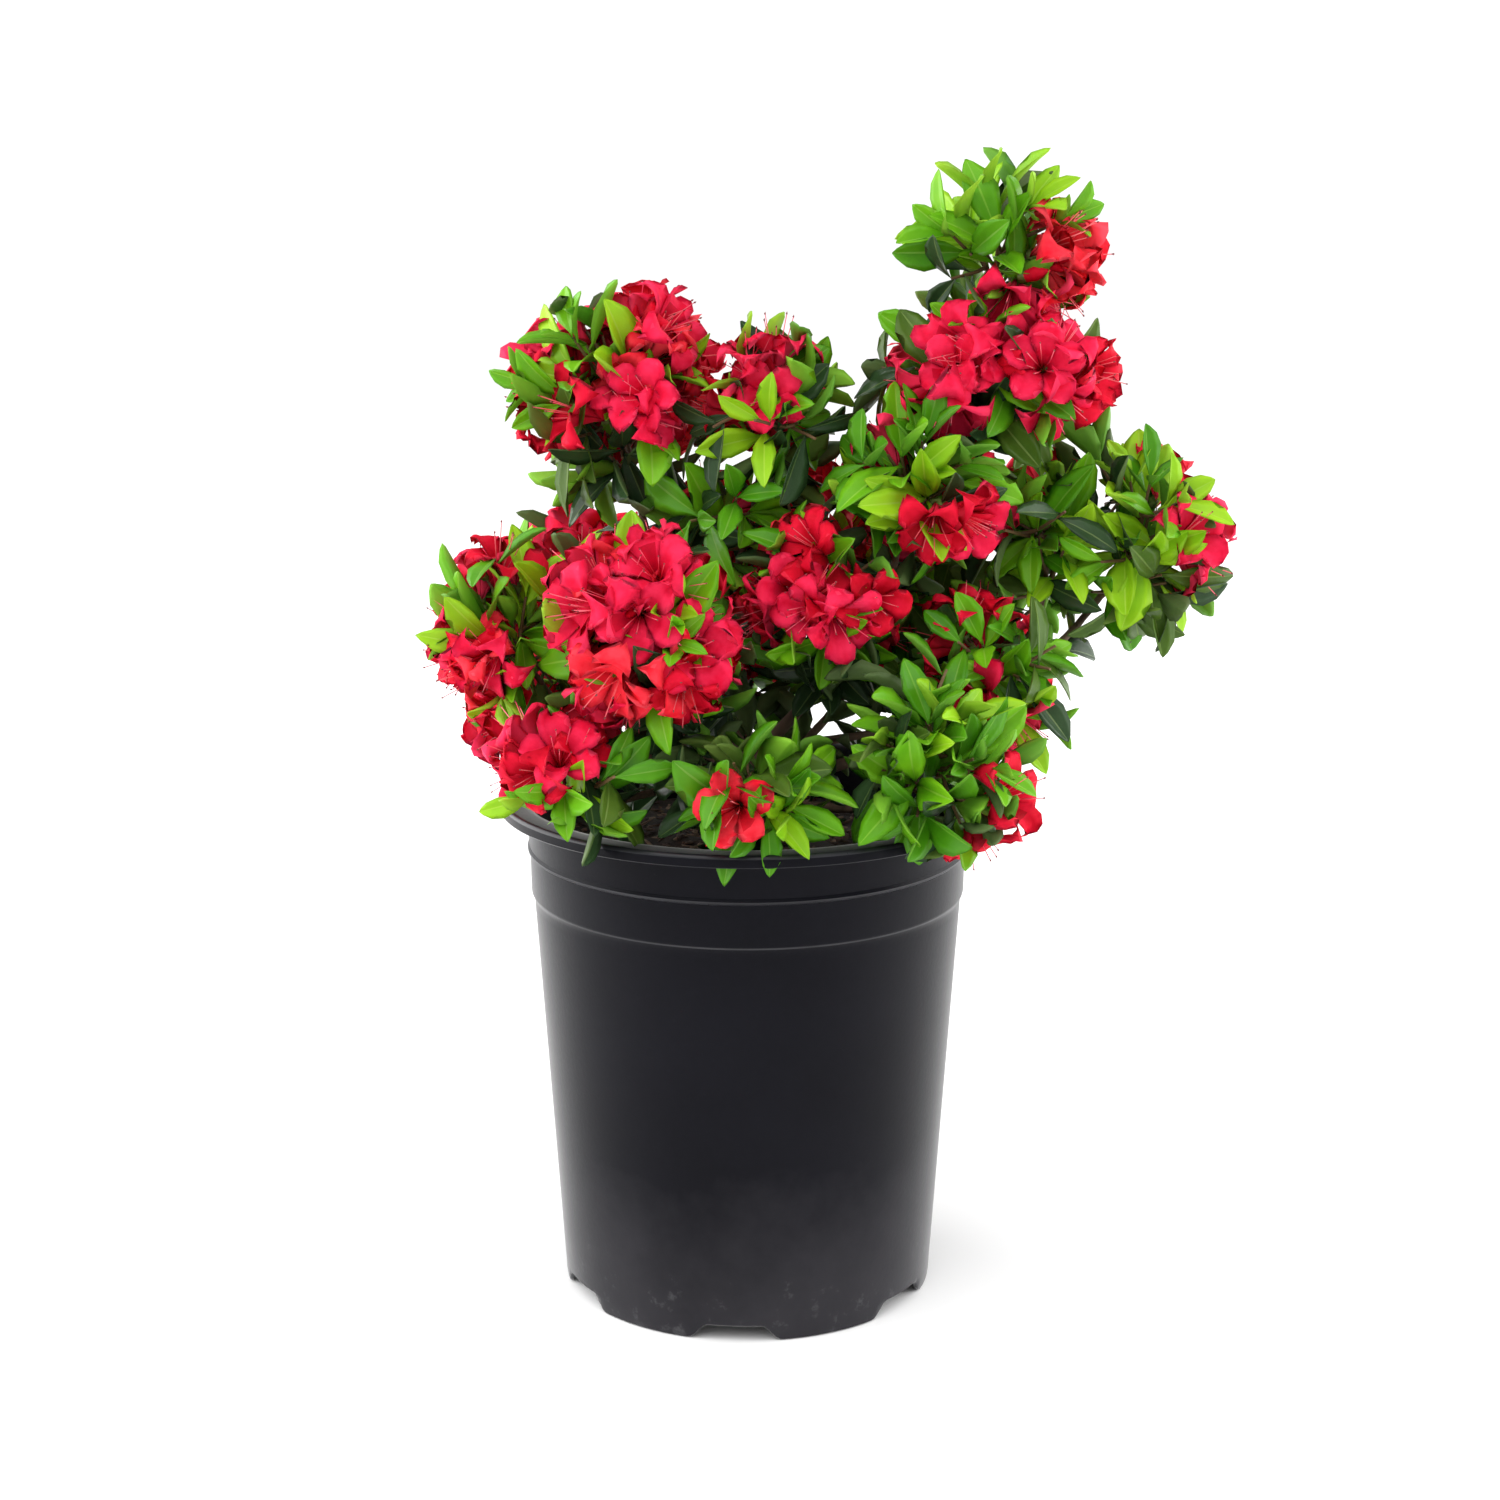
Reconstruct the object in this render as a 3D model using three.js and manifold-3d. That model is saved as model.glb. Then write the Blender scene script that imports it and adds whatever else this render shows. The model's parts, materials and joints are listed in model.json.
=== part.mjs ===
// An azalea shrub in flower, growing in a black plastic nursery pot.
// Millimetres, +Z up. The origin is the middle of the pot's flat underside, and -Y is the front.
import * as THREE from "three";
import { mergeVertices } from "three/addons/utils/BufferGeometryUtils.js";
import Module from "manifold-3d";

const wasm = await Module();
wasm.setup();

// Sizes that drive the rest
const CLEAR = 0.3; // gap between two pieces that touch
const POT = {
  height: 228,
  rimRadius: 111, // outside of the flat rim
  rimThick: 3,
  rimLip: 5.5, // how far the rim's outer edge turns down
  lipThick: 2.4,
  shoulderRadius: 98.5, // outside of the wall under the rim
  stepHeight: 184, // where the thicker top band ends
  stepDepth: 1.4,
  bandTaper: 1.4, // how much the band narrows from the shoulder to the step
  beadHeight: 204, // the raised line round the band
  beadDepth: 1,
  footRadius: 84, // outside of the wall near the ground
  footRound: 5,
  wall: 2,
  floorHeight: 7, // underside of the floor, held up by the skirt
  padRadius: 30, // the middle of the floor, which reaches the ground
  facets: 36,
};
const NOTCH = { count: 6, width: 42, height: 6.5, firstTurn: -4 }; // openings in the skirt, turn in degrees
const MIX = { top: 203, crown: 4, facets: 24 };
const TRUNK = { foot: [1, -1], lean: [3, -3], height: 38, footRadius: 11, topRadius: 6.5, sides: 9 };
const BOUGH = { mainRadius: 3.3, sideRadius: 2.3, tipRadius: 1.7, sides: 5, steps: 3 };
const STEM = { radius: 2.2, tipRadius: 1.8, sides: 3, steps: 2 };
const TWIG = { radius: 0.9, tipRadius: 0.8, sides: 3 };
const LEAF = { length: 37, width: 17, thick: 1.2, sunk: 0.6 };
const FLOWER = { radius: 20, depth: 24, throat: 11, sunk: 3.5, lobes: 5, spacing: 3 };
const TRIES = 48; // places tried for each shoot, of which the best is kept
const GOLDEN_TURN = Math.PI * (3 - Math.sqrt(5));
const CROWN_HEART = new THREE.Vector3(8, 0, 262); // the shoots point away from here

// How each kind of shoot ends: the room that it needs past its twig, how many flowers and leaves it
// carries, how far the leaves spread from the twig in degrees, how far apart they sit along it, and
// how low it may hang, from 1 at the top of its mass to -1 underneath
const SHOOTS = {
  truss: { room: 24, flowers: 3, leaves: 1, spread: 76, spacing: 5, lowest: -0.35 },
  spray: { room: 25, flowers: 0, leaves: 4, spread: 44, spacing: 2.8, lowest: -0.4 },
  older: { room: 21, flowers: 0, leaves: 3, spread: 62, spacing: 5, lowest: -0.9 },
};

// The masses of foliage. Each has a bough of its own, which leaves the trunk or another bough at a
// share of its length, and a bow that pushes the middle of the bough sideways. middle and reach are
// the centre and the half sizes of the space that the mass keeps to, and the last four numbers say
// how many shoots carry flowers, young leaves and older leaves, and seed the rest.
const MASSES = [
  { name: "upper_left", from: ["trunk", 0.92], bow: [-4, 10, -6], middle: [-56, 2, 404], reach: [54, 46, 54], shoots: [15, 3, 4, 138] },
  { name: "left_front", from: ["trunk", 0.68], bow: [0, 0, -8], middle: [-42, -70, 310], reach: [58, 44, 54], shoots: [15, 4, 2, 187] },
  { name: "top_crown", from: ["trunk", 0.98], bow: [16, 20, -10], middle: [110, 10, 467], reach: [47, 42, 45], shoots: [4, 7, 2, 118] },
  { name: "right_tip", from: ["trunk", 0.6], bow: [14, 0, -12], middle: [174, 0, 340], reach: [42, 42, 50], shoots: [4, 5, 4, 158] },
  { name: "back_left", from: ["trunk", 0.8], bow: [0, 0, -6], middle: [-72, 52, 298], reach: [54, 48, 52], shoots: [7, 4, 1, 126] },
  { name: "back_mid", from: ["trunk", 0.88], bow: [0, 4, -6], middle: [-2, 84, 288], reach: [50, 42, 60], shoots: [6, 5, 1, 158] },
  { name: "back_right", from: ["trunk", 0.74], bow: [0, 0, -6], middle: [62, 62, 304], reach: [50, 48, 54], shoots: [6, 4, 2, 102] },
  { name: "front_right", from: ["trunk", 0.5], bow: [0, -4, -2], middle: [78, -84, 258], reach: [48, 38, 48], shoots: [2, 11, 4, 257] },
  { name: "foot_centre", from: ["trunk", 0.42], bow: [0, 0, 4], middle: [2, -92, 250], reach: [48, 34, 34], shoots: [5, 5, 2, 176] },
  { name: "mid_right", from: ["top_crown", 0.22], bow: [4, -10, 0], middle: [70, -28, 368], reach: [50, 44, 44], shoots: [5, 6, 3, 130] },
  { name: "upper_mid", from: ["upper_left", 0.5], bow: [6, -6, -6], middle: [10, -14, 400], reach: [38, 38, 46], shoots: [6, 3, 4, 160] },
  { name: "centre_upper", from: ["upper_left", 0.3], bow: [4, -4, 0], middle: [-12, -8, 352], reach: [40, 36, 32], shoots: [5, 1, 2, 151] },
  { name: "left_far", from: ["left_front", 0.4], bow: [-6, 6, -8], middle: [-104, -40, 310], reach: [33, 40, 50], shoots: [7, 3, 1, 236] },
  { name: "foot_left", from: ["left_front", 0.24], bow: [-6, -4, 2], middle: [-74, -84, 255], reach: [40, 36, 36], shoots: [2, 6, 2, 141] },
  { name: "centre", from: ["mid_right", 0.2], bow: [-6, -6, -2], middle: [30, -42, 326], reach: [46, 42, 46], shoots: [9, 3, 2, 167] },
  { name: "right_under", from: ["right_tip", 0.35], bow: [-4, -6, 0], middle: [102, -34, 286], reach: [42, 42, 50], shoots: [3, 6, 4, 163] },
  { name: "top_collar", from: ["top_crown", 0.62], bow: [0, -10, 0], middle: [106, -2, 414], reach: [56, 46, 48], shoots: [9, 4, 4, 183] },
  { name: "inner_top", from: ["top_crown", 0.4], bow: [-6, 6, 0], middle: [36, 28, 334], reach: [42, 40, 40], shoots: [4, 2, 1, 146] },
  { name: "right_inner", from: ["right_tip", 0.62], bow: [-2, 6, 0], middle: [133, 4, 342], reach: [42, 44, 48], shoots: [1, 10, 3, 141] },
  { name: "side_left", from: ["back_left", 0.4], bow: [-4, -4, 0], middle: [-94, 12, 262], reach: [36, 46, 34], shoots: [3, 4, 1, 104] },
  { name: "side_right", from: ["back_right", 0.45], bow: [6, -2, 0], middle: [102, 42, 276], reach: [38, 42, 42], shoots: [3, 4, 2, 172] },
];

// The shoots that reach the far tips of the crown: their kind and where they point
const LEADERS = {
  top_crown: { kind: "spray", towards: [-0.3, -0.05, 0.95] },
  right_tip: { kind: "truss", towards: [0.96, -0.25, 0.1] },
  left_far: { kind: "spray", towards: [-0.9, -0.3, 0.3] },
  upper_left: { kind: "spray", towards: [-0.5, -0.2, 0.85] },
  upper_mid: { kind: "spray", towards: [0.8, -0.1, 0.6] },
};

const COLOURS = { plastic: 0x26262b, mix: 0x33241a, bark: 0x6b5138, blossom: 0xd81b47, foliage: 0x4f8a24 };

// Random numbers that come out the same on every run
function seeded(seed) {
  let state = Math.imul(seed, 2654435761) >>> 0;
  return () => {
    state = (Math.imul(state, 1664525) + 1013904223) >>> 0;
    return state / 4294967296;
  };
}

// A closed mesh as a solid, and a solid as a mesh's geometry
function solidOf(geometry) {
  const bare = geometry.clone();
  bare.deleteAttribute("normal");
  bare.deleteAttribute("uv");
  const merged = mergeVertices(bare, 1e-3);
  return new wasm.Manifold(
    new wasm.Mesh({
      numProp: 3,
      vertProperties: new Float32Array(merged.attributes.position.array),
      triVerts: new Uint32Array(merged.index.array),
    }),
  );
}

function geometryOf(solid) {
  const { vertProperties, triVerts } = solid.getMesh();
  return new THREE.BufferGeometry()
    .setAttribute("position", new THREE.BufferAttribute(vertProperties, 3))
    .setIndex(new THREE.BufferAttribute(triVerts, 1));
}

function facesOf(points, faces) {
  return new THREE.BufferGeometry()
    .setAttribute("position", new THREE.Float32BufferAttribute(points.flatMap((p) => p.toArray()), 3))
    .setIndex(faces.flat());
}

// A limb: rings of corners along a curve, thinner towards its end, with flat caps
function limb(curve, startRadius, endRadius, sides, steps) {
  const frames = curve.computeFrenetFrames(steps, false);
  const points = [];
  const faces = [];
  for (let step = 0; step <= steps; step++) {
    const share = step / steps;
    const radius = startRadius + (endRadius - startRadius) * share;
    const centre = curve.getPoint(share);
    for (let side = 0; side < sides; side++) {
      const turn = (2 * Math.PI * side) / sides;
      points.push(
        centre
          .clone()
          .addScaledVector(frames.normals[step], radius * Math.cos(turn))
          .addScaledVector(frames.binormals[step], radius * Math.sin(turn)),
      );
    }
  }
  for (let step = 0; step < steps; step++)
    for (let side = 0; side < sides; side++) {
      const next = (side + 1) % sides;
      const [a, b] = [step * sides + side, step * sides + next];
      faces.push([a, b, b + sides], [a, b + sides, a + sides]);
    }
  for (let side = 1; side < sides - 1; side++) {
    const last = steps * sides;
    faces.push([0, side + 1, side], [last, last + side, last + side + 1]);
  }
  return facesOf(points, faces);
}

// A leaf: four faces, folded a little along the line from its stalk to its tip
function leaf({ at, along, up, length, width }) {
  const half = new THREE.Vector3().crossVectors(up, along).setLength(width / 2);
  const root = at.clone().addScaledVector(along, -LEAF.sunk);
  const tip = at.clone().addScaledVector(along, length);
  const widest = root.clone().lerp(tip, 0.5).addScaledVector(up, LEAF.thick);
  const [left, right] = [widest.clone().add(half), widest.clone().sub(half)];
  const faces = [
    [0, 3, 2],
    [2, 3, 1],
    [0, 2, 1],
    [0, 1, 3],
  ];
  return facesOf([root, tip, left, right], faces);
}

// A flower: a five-sided funnel whose rim opens into five lobes
function flower({ at, along, roll, radius }) {
  const side = sideways(along);
  const other = new THREE.Vector3().crossVectors(along, side);
  const size = radius / FLOWER.radius;
  const { lobes, depth, throat, sunk } = FLOWER;
  const rim = Array.from({ length: 2 * lobes }, (_, i) => {
    const angle = roll + (i * Math.PI) / lobes;
    const [out, height] = i % 2 ? [0.6, 0.68] : [1, 1]; // a notch between lobes, or the end of a lobe
    return at
      .clone()
      .addScaledVector(along, depth * size * height)
      .addScaledVector(side, radius * out * Math.cos(angle))
      .addScaledVector(other, radius * out * Math.sin(angle));
  });
  const root = at.clone().addScaledVector(along, -sunk);
  const inside = at.clone().addScaledVector(along, throat * size);
  const [rootIndex, insideIndex] = [2 * lobes, 2 * lobes + 1];
  const faces = [];
  for (let i = 0; i < lobes; i++) {
    const [tip, notch] = [2 * i, 2 * i + 1];
    const [nextTip, nextNotch] = [(2 * i + 2) % (2 * lobes), (2 * i + 3) % (2 * lobes)];
    faces.push([rootIndex, nextNotch, notch], [notch, nextNotch, nextTip]);
    faces.push([insideIndex, tip, notch], [insideIndex, notch, nextTip]);
  }
  return facesOf([...rim, root, inside], faces);
}

// A direction square to another, the same one each time
function sideways(direction) {
  const helper = Math.abs(direction.z) < 0.9 ? new THREE.Vector3(0, 0, 1) : new THREE.Vector3(1, 0, 0);
  return new THREE.Vector3().crossVectors(direction, helper).normalize();
}

// A direction tilted from an axis by an angle, at a turn round it
function tilted(axis, angle, turn) {
  const side = sideways(axis);
  const other = new THREE.Vector3().crossVectors(axis, side);
  return axis
    .clone()
    .multiplyScalar(Math.cos(angle))
    .addScaledVector(side, Math.sin(angle) * Math.cos(turn))
    .addScaledVector(other, Math.sin(angle) * Math.sin(turn));
}

// The space of each mass: an ellipsoid, cut by a flat wall towards each neighbour
const masses = MASSES.map((row) => ({
  ...row,
  middle: new THREE.Vector3(...row.middle),
  reach: new THREE.Vector3(...row.reach),
  bow: new THREE.Vector3(...row.bow),
}));

function ellipsoidRadius(mass, direction) {
  return 1 / direction.clone().divide(mass.reach).length();
}

for (const mass of masses) {
  mass.walls = masses
    .filter((other) => other !== mass)
    .map((other) => {
      const towards = other.middle.clone().sub(mass.middle);
      const distance = towards.length();
      towards.normalize();
      const mine = ellipsoidRadius(mass, towards);
      const theirs = ellipsoidRadius(other, towards);
      return { normal: towards, distance: (distance * mine) / (mine + theirs) - CLEAR };
    });
}

// How far the space reaches from its middle in a direction
function roomTowards(mass, direction) {
  let room = ellipsoidRadius(mass, direction);
  for (const wall of mass.walls) {
    const facing = direction.dot(wall.normal);
    if (facing > 0.05) room = Math.min(room, wall.distance / facing);
  }
  return room;
}

function inSpace(mass, point) {
  const offset = point.clone().sub(mass.middle);
  if (offset.clone().divide(mass.reach).length() > SPILL) return false;
  return mass.walls.every((wall) => offset.dot(wall.normal) < wall.distance);
}
const SPILL = 1.12; // petals and leaf tips may stand this far past the ellipsoid

function inPot(point) {
  const out = Math.hypot(point.x, point.y);
  const overRim = point.z > POT.height + 1;
  if (overRim || out > POT.rimRadius + 1.5) return false;
  return out > POT.shoulderRadius - 6 || point.z < MIX.top + MIX.crown + 2;
}

// The trunk, from its flat foot in the mix to its fork
const trunkBase = MIX.top + MIX.crown + CLEAR;
const trunkCurve = new THREE.QuadraticBezierCurve3(
  new THREE.Vector3(...TRUNK.foot, trunkBase),
  new THREE.Vector3(...TRUNK.foot, trunkBase + TRUNK.height / 2),
  new THREE.Vector3(...TRUNK.lean, trunkBase + TRUNK.height),
);

function trunkGeometry(extra) {
  const flare = 2.4; // the foot widens over its lowest part
  const profile = [];
  const rings = 6;
  for (let ring = 0; ring <= rings; ring++) {
    const share = ring / rings;
    const slender = TRUNK.topRadius + (TRUNK.footRadius - TRUNK.topRadius) * (1 - share) ** flare;
    profile.push([slender + extra, share]);
  }
  const straight = new THREE.LatheGeometry(
    [new THREE.Vector2(0, 0), ...profile.map(([r, share]) => new THREE.Vector2(r, share)), new THREE.Vector2(0, 1)],
    TRUNK.sides,
  );
  const position = straight.attributes.position;
  for (let i = 0; i < position.count; i++) {
    const centre = trunkCurve.getPoint(THREE.MathUtils.clamp(position.getY(i), 0, 1));
    position.setXYZ(i, centre.x + position.getX(i), centre.y - position.getZ(i), centre.z);
  }
  return straight;
}

// Boughs leave the trunk or another bough and end where they enter their mass
const limbs = { trunk: { curve: trunkCurve, startRadius: TRUNK.footRadius, endRadius: TRUNK.topRadius } };

function growBough(mass) {
  const [parentName, share] = mass.from;
  const parent = limbs[parentName];
  const start = parent.curve.getPoint(share);
  const reachOut = mass.middle.clone().sub(start);
  const rising = new THREE.Vector3(reachOut.x * 0.55, reachOut.y * 0.55, Math.abs(reachOut.z) + 12).normalize();
  const into = roomTowards(mass, rising.clone().negate());
  const end = mass.middle.clone().addScaledVector(rising, -Math.min(0.86 * into, into - 3));
  const middle = new THREE.Vector3(
    start.x + (end.x - start.x) * 0.62,
    start.y + (end.y - start.y) * 0.62,
    start.z + (end.z - start.z) * 0.4,
  ).add(mass.bow);
  const side = parentName !== "trunk";
  limbs[mass.name] = {
    curve: new THREE.QuadraticBezierCurve3(start, middle, end),
    startRadius: side ? BOUGH.sideRadius : BOUGH.mainRadius,
    endRadius: BOUGH.tipRadius,
    parent: parentName,
  };
}
masses.forEach(growBough);

function limbSamples({ curve, startRadius, endRadius }, count = 14) {
  return curve.getPoints(count).map((point, i) => ({ point, radius: startRadius + ((endRadius - startRadius) * i) / count }));
}
const samples = Object.values(limbs).flatMap((one) => {
  const spots = limbSamples(one);
  return spots.slice(1).map((spot, i) => ({
    line: new THREE.Line3(spots[i].point, spot.point),
    radius: Math.max(spots[i].radius, spot.radius),
  }));
});
const nearest = new THREE.Vector3();

function clearOfLimbs(bead) {
  return samples.every(({ line, radius }) => {
    line.closestPointToPoint(bead.point, true, nearest);
    return nearest.distanceTo(bead.point) > radius + Math.min(bead.radius, LIMB_ROOM) + CLEAR;
  });
}
const LIMB_ROOM = 3;

function clearOf(mine, theirs) {
  return mine.point.distanceTo(theirs.point) > mine.radius + theirs.radius;
}

function between(a, b, count) {
  return Array.from({ length: count + 1 }, (_, i) => a.clone().lerp(b, i / count));
}

// Leaves stand round a twig at the golden turn, their upper sides towards its tip
function leafAt(root, axis, angle, spread, size, draw) {
  const lean = THREE.MathUtils.degToRad(spread + 24 * (draw() - 0.5));
  const turn = angle + 0.5 * (draw() - 0.5);
  const along = tilted(axis, lean, turn);
  const up = tilted(axis, lean - Math.PI / 2, turn);
  const length = LEAF.length * size * (0.82 + 0.36 * draw());
  const width = LEAF.width * (length / LEAF.length) * (0.88 + 0.24 * draw());
  const tip = root.clone().addScaledVector(along, length);
  const middle = root.clone().lerp(tip, 0.5);
  const half = new THREE.Vector3().crossVectors(up, along).setLength(width / 2);
  return {
    kind: "leaf",
    at: root,
    along,
    up,
    length,
    width,
    ends: [tip, middle.clone().add(half), middle.clone().sub(half)],
    beads: between(root.clone().lerp(tip, 0.22), tip, 4).map((point) => ({ point, radius: width * 0.24 })),
  };
}

function flowerAt(root, along, size, draw) {
  const radius = FLOWER.radius * size * (0.9 + 0.2 * draw());
  const roll = draw() * 2 * Math.PI;
  const rise = (FLOWER.depth * radius) / FLOWER.radius;
  const face = root.clone().addScaledVector(along, rise);
  const ends = Array.from({ length: 10 }, (_, i) =>
    face.clone().addScaledVector(tilted(along, Math.PI / 2, (i * Math.PI) / 5), radius),
  );
  const beads = ends.map((end) => ({ point: root.clone().lerp(end, 0.88), radius: 2.6 * size }));
  beads.push({ point: root.clone().addScaledVector(along, 0.62 * rise), radius: 9 * size });
  return { kind: "flower", at: root, along, roll, radius, ends, beads };
}

function twigAt(from, to) {
  const beads = between(from.clone().lerp(to, 0.25), to, 5).map((point) => ({ point, radius: TWIG.radius + 0.4 }));
  return { kind: "twig", from, to, ends: [to], beads };
}

// An organ fits if it keeps to the space, out of the pot, off the limbs and off the organs there
function fits(mass, organ, others) {
  return (
    organ.ends.every((end) => inSpace(mass, end) && !inPot(end)) &&
    organ.beads.every((bead) => clearOfLimbs(bead)) &&
    others.every((other) => organ.beads.every((mine) => other.beads.every((theirs) => clearOf(mine, theirs))))
  );
}

// One shoot: a twig with what grows at its end, or nothing if too little of it fits
function shootAt(mass, kind, stem, direction, others, draw) {
  const shoot = SHOOTS[kind];
  const room = roomTowards(mass, direction);
  const size = THREE.MathUtils.clamp(room / (shoot.room + 8), 0.7, 1) * (0.92 + 0.16 * draw());
  const length = Math.max(4, room - shoot.room * size) * (0.7 + 0.3 * draw());
  const tip = mass.middle.clone().addScaledVector(direction, length);
  const height = tip.clone().sub(stem.getPoint(0)).dot(stem.getTangent(1)) - 0.8 * length;
  const joint = stem.getPoint(THREE.MathUtils.clamp(height / stem.getLength(), 0.25, 0.95));
  const twig = twigAt(joint, tip);
  if (!fits(mass, twig, others)) return null;
  const axis = tip.clone().sub(joint).normalize().lerp(direction, 0.5).normalize();
  const made = [];
  const turn = draw() * 2 * Math.PI;
  const twigLength = tip.distanceTo(joint);
  const backFromTip = (distance) => tip.clone().lerp(joint, Math.min(distance / twigLength, 0.6));
  const keep = (organ) => {
    if (fits(mass, organ, [...others, ...made])) made.push(organ);
  };
  for (let i = 0; i < shoot.flowers; i++) {
    const lean = THREE.MathUtils.degToRad(43 + 10 * draw());
    const along = tilted(axis, lean, turn + (i * 2 * Math.PI) / shoot.flowers + 0.3 * (draw() - 0.5));
    keep(flowerAt(backFromTip(i * FLOWER.spacing), along, size, draw));
  }
  if (shoot.flowers && !made.length) return null;
  for (let i = 0; i < shoot.leaves; i++) {
    const root = backFromTip(shoot.flowers * FLOWER.spacing + i * shoot.spacing);
    keep(leafAt(root, axis, turn + 1 + i * GOLDEN_TURN, shoot.spread, size, draw));
  }
  return made.length ? { tip, organs: [twig, ...made] } : null;
}

// The rule that a mass grows by: shoots spread round one stem, each in the best of the places tried
function grow(mass) {
  const own = limbs[mass.name];
  const tangent = own.curve.getTangent(1);
  const root = own.curve.getPoint(1).addScaledVector(tangent, CLEAR);
  const stem = new THREE.QuadraticBezierCurve3(root, root.clone().addScaledVector(tangent, 9), mass.middle.clone());
  const outward = mass.middle.clone().sub(CROWN_HEART).setZ(0).normalize().multiplyScalar(0.7);
  const axis = outward.add(new THREE.Vector3(0, 0, 1)).normalize();
  const [trusses, sprays, older, seed] = mass.shoots;
  const kinds = [...Array(trusses).fill("truss"), ...Array(sprays).fill("spray"), ...Array(older).fill("older")];
  const leader = LEADERS[mass.name];
  if (leader) kinds.unshift(leader.kind);
  const organs = [];
  const tips = [];
  kinds.forEach((kind, k) => {
    let best = null;
    for (let attempt = 0; attempt < TRIES; attempt++) {
      const draw = seeded(seed * 1009 + k * 31 + attempt);
      const { lowest } = SHOOTS[kind];
      const height = lowest + (1 - lowest) * draw();
      const leading = leader && k === 0;
      const pointing = tilted(axis, Math.acos(height), draw() * 2 * Math.PI);
      const direction = leading ? new THREE.Vector3(...leader.towards).normalize() : pointing;
      const shoot = shootAt(mass, kind, stem, direction, organs, draw);
      if (!shoot) continue;
      const spare = Math.min(40, ...tips.map((tip) => tip.distanceTo(shoot.tip)));
      const score = spare + 7 * shoot.organs.length + 0.3 * shoot.tip.distanceTo(mass.middle);
      if (!best || score > best.score) best = { ...shoot, score };
    }
    if (best) {
      organs.push(...best.organs);
      tips.push(best.tip);
    }
  });
  return [{ kind: "stem", curve: stem }, ...organs];
}

function organSolid(organ) {
  if (organ.kind === "leaf") return solidOf(leaf(organ));
  if (organ.kind === "flower") return solidOf(flower(organ));
  if (organ.kind === "stem") return solidOf(limb(organ.curve, STEM.radius, STEM.tipRadius, STEM.sides, STEM.steps));
  const past = organ.to.clone().sub(organ.from).setLength(0.4);
  const twig = new THREE.LineCurve3(organ.from, organ.to.clone().add(past));
  return solidOf(limb(twig, TWIG.radius, TWIG.tipRadius, TWIG.sides, 1));
}

// The biggest body of a solid. A scrap or the inside of a sealed hollow is left out
function biggest(solid) {
  return solid.decompose().sort((a, b) => b.volume() - a.volume())[0];
}

// A bough, cut clear of the trunk and of the boughs before it
const cleared = [solidOf(trunkGeometry(CLEAR))];

function boughSolid(name) {
  const { curve, startRadius, endRadius } = limbs[name];
  const shape = (extra) => solidOf(limb(curve, startRadius + extra, endRadius + extra, BOUGH.sides, BOUGH.steps));
  const bough = biggest(shape(0).subtract(wasm.Manifold.union(cleared)));
  cleared.push(shape(1.3 * CLEAR));
  return bough;
}
const boughs = masses.map((mass) => boughSolid(mass.name));
const pot = potSolid();
const taken = wasm.Manifold.union([...cleared, pot]);

// The place of an edge that doesn't join two faces once corners that nearly meet count as one
function openEdge(solid) {
  const { index, attributes } = mergeVertices(geometryOf(solid), 1e-3);
  const uses = new Map();
  for (let i = 0; i < index.count; i += 3) {
    const corners = [index.getX(i), index.getX(i + 1), index.getX(i + 2)];
    if (new Set(corners).size < 3) continue; // a face too small to keep
    corners.forEach((corner, k) => {
      const edge = [corner, corners[(k + 1) % 3]].sort((a, b) => a - b);
      const { count } = uses.get(edge.join()) ?? { count: 0 };
      uses.set(edge.join(), { count: count + 1, corner });
    });
  }
  const open = [...uses.values()].find(({ count }) => count !== 2);
  return open && new THREE.Vector3().fromBufferAttribute(attributes.position, open.corner);
}

// A leaf or flower that would cross a limb, the pot, or one on another twig is left off, and so is a
// twig that would cross a limb, with all it carries
function apart([stem, ...organs]) {
  const kept = [];
  let twig = 0;
  let blocked = false;
  for (const organ of organs) {
    const shape = organSolid(organ);
    const crosses = (other) => !shape.intersect(other).isEmpty();
    const blade = organ.kind !== "twig";
    if (!blade) {
      twig += 1;
      blocked = crosses(taken);
    }
    const others = kept.filter((one) => blade && one.blade && one.twig !== twig);
    if (blocked || crosses(taken) || others.some((one) => crosses(one.shape))) continue;
    kept.push({ organ, shape, blade, twig });
  }
  return [stem, ...kept.map(({ organ }) => organ)];
}

// A mass fused into one solid, with the finest detail that keeps its surface closed. If none does,
// the leaf or flower at the open place is left off
function massSolid(mass) {
  let organs = apart(grow(mass));
  for (;;) {
    const fused = wasm.Manifold.union(organs.map(organSolid));
    let place;
    for (const detail of [0.15, 0.2, 0.3]) {
      const whole = biggest(fused.simplify(detail));
      place = openEdge(whole);
      if (!place) return whole;
    }
    const distance = ({ beads, kind }) =>
      kind === "twig" || !beads ? Infinity : Math.min(...beads.map(({ point }) => point.distanceTo(place)));
    const nearest = organs.reduce((best, organ) => (distance(organ) < distance(best) ? organ : best));
    organs = organs.filter((organ) => organ !== nearest);
  }
}

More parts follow.
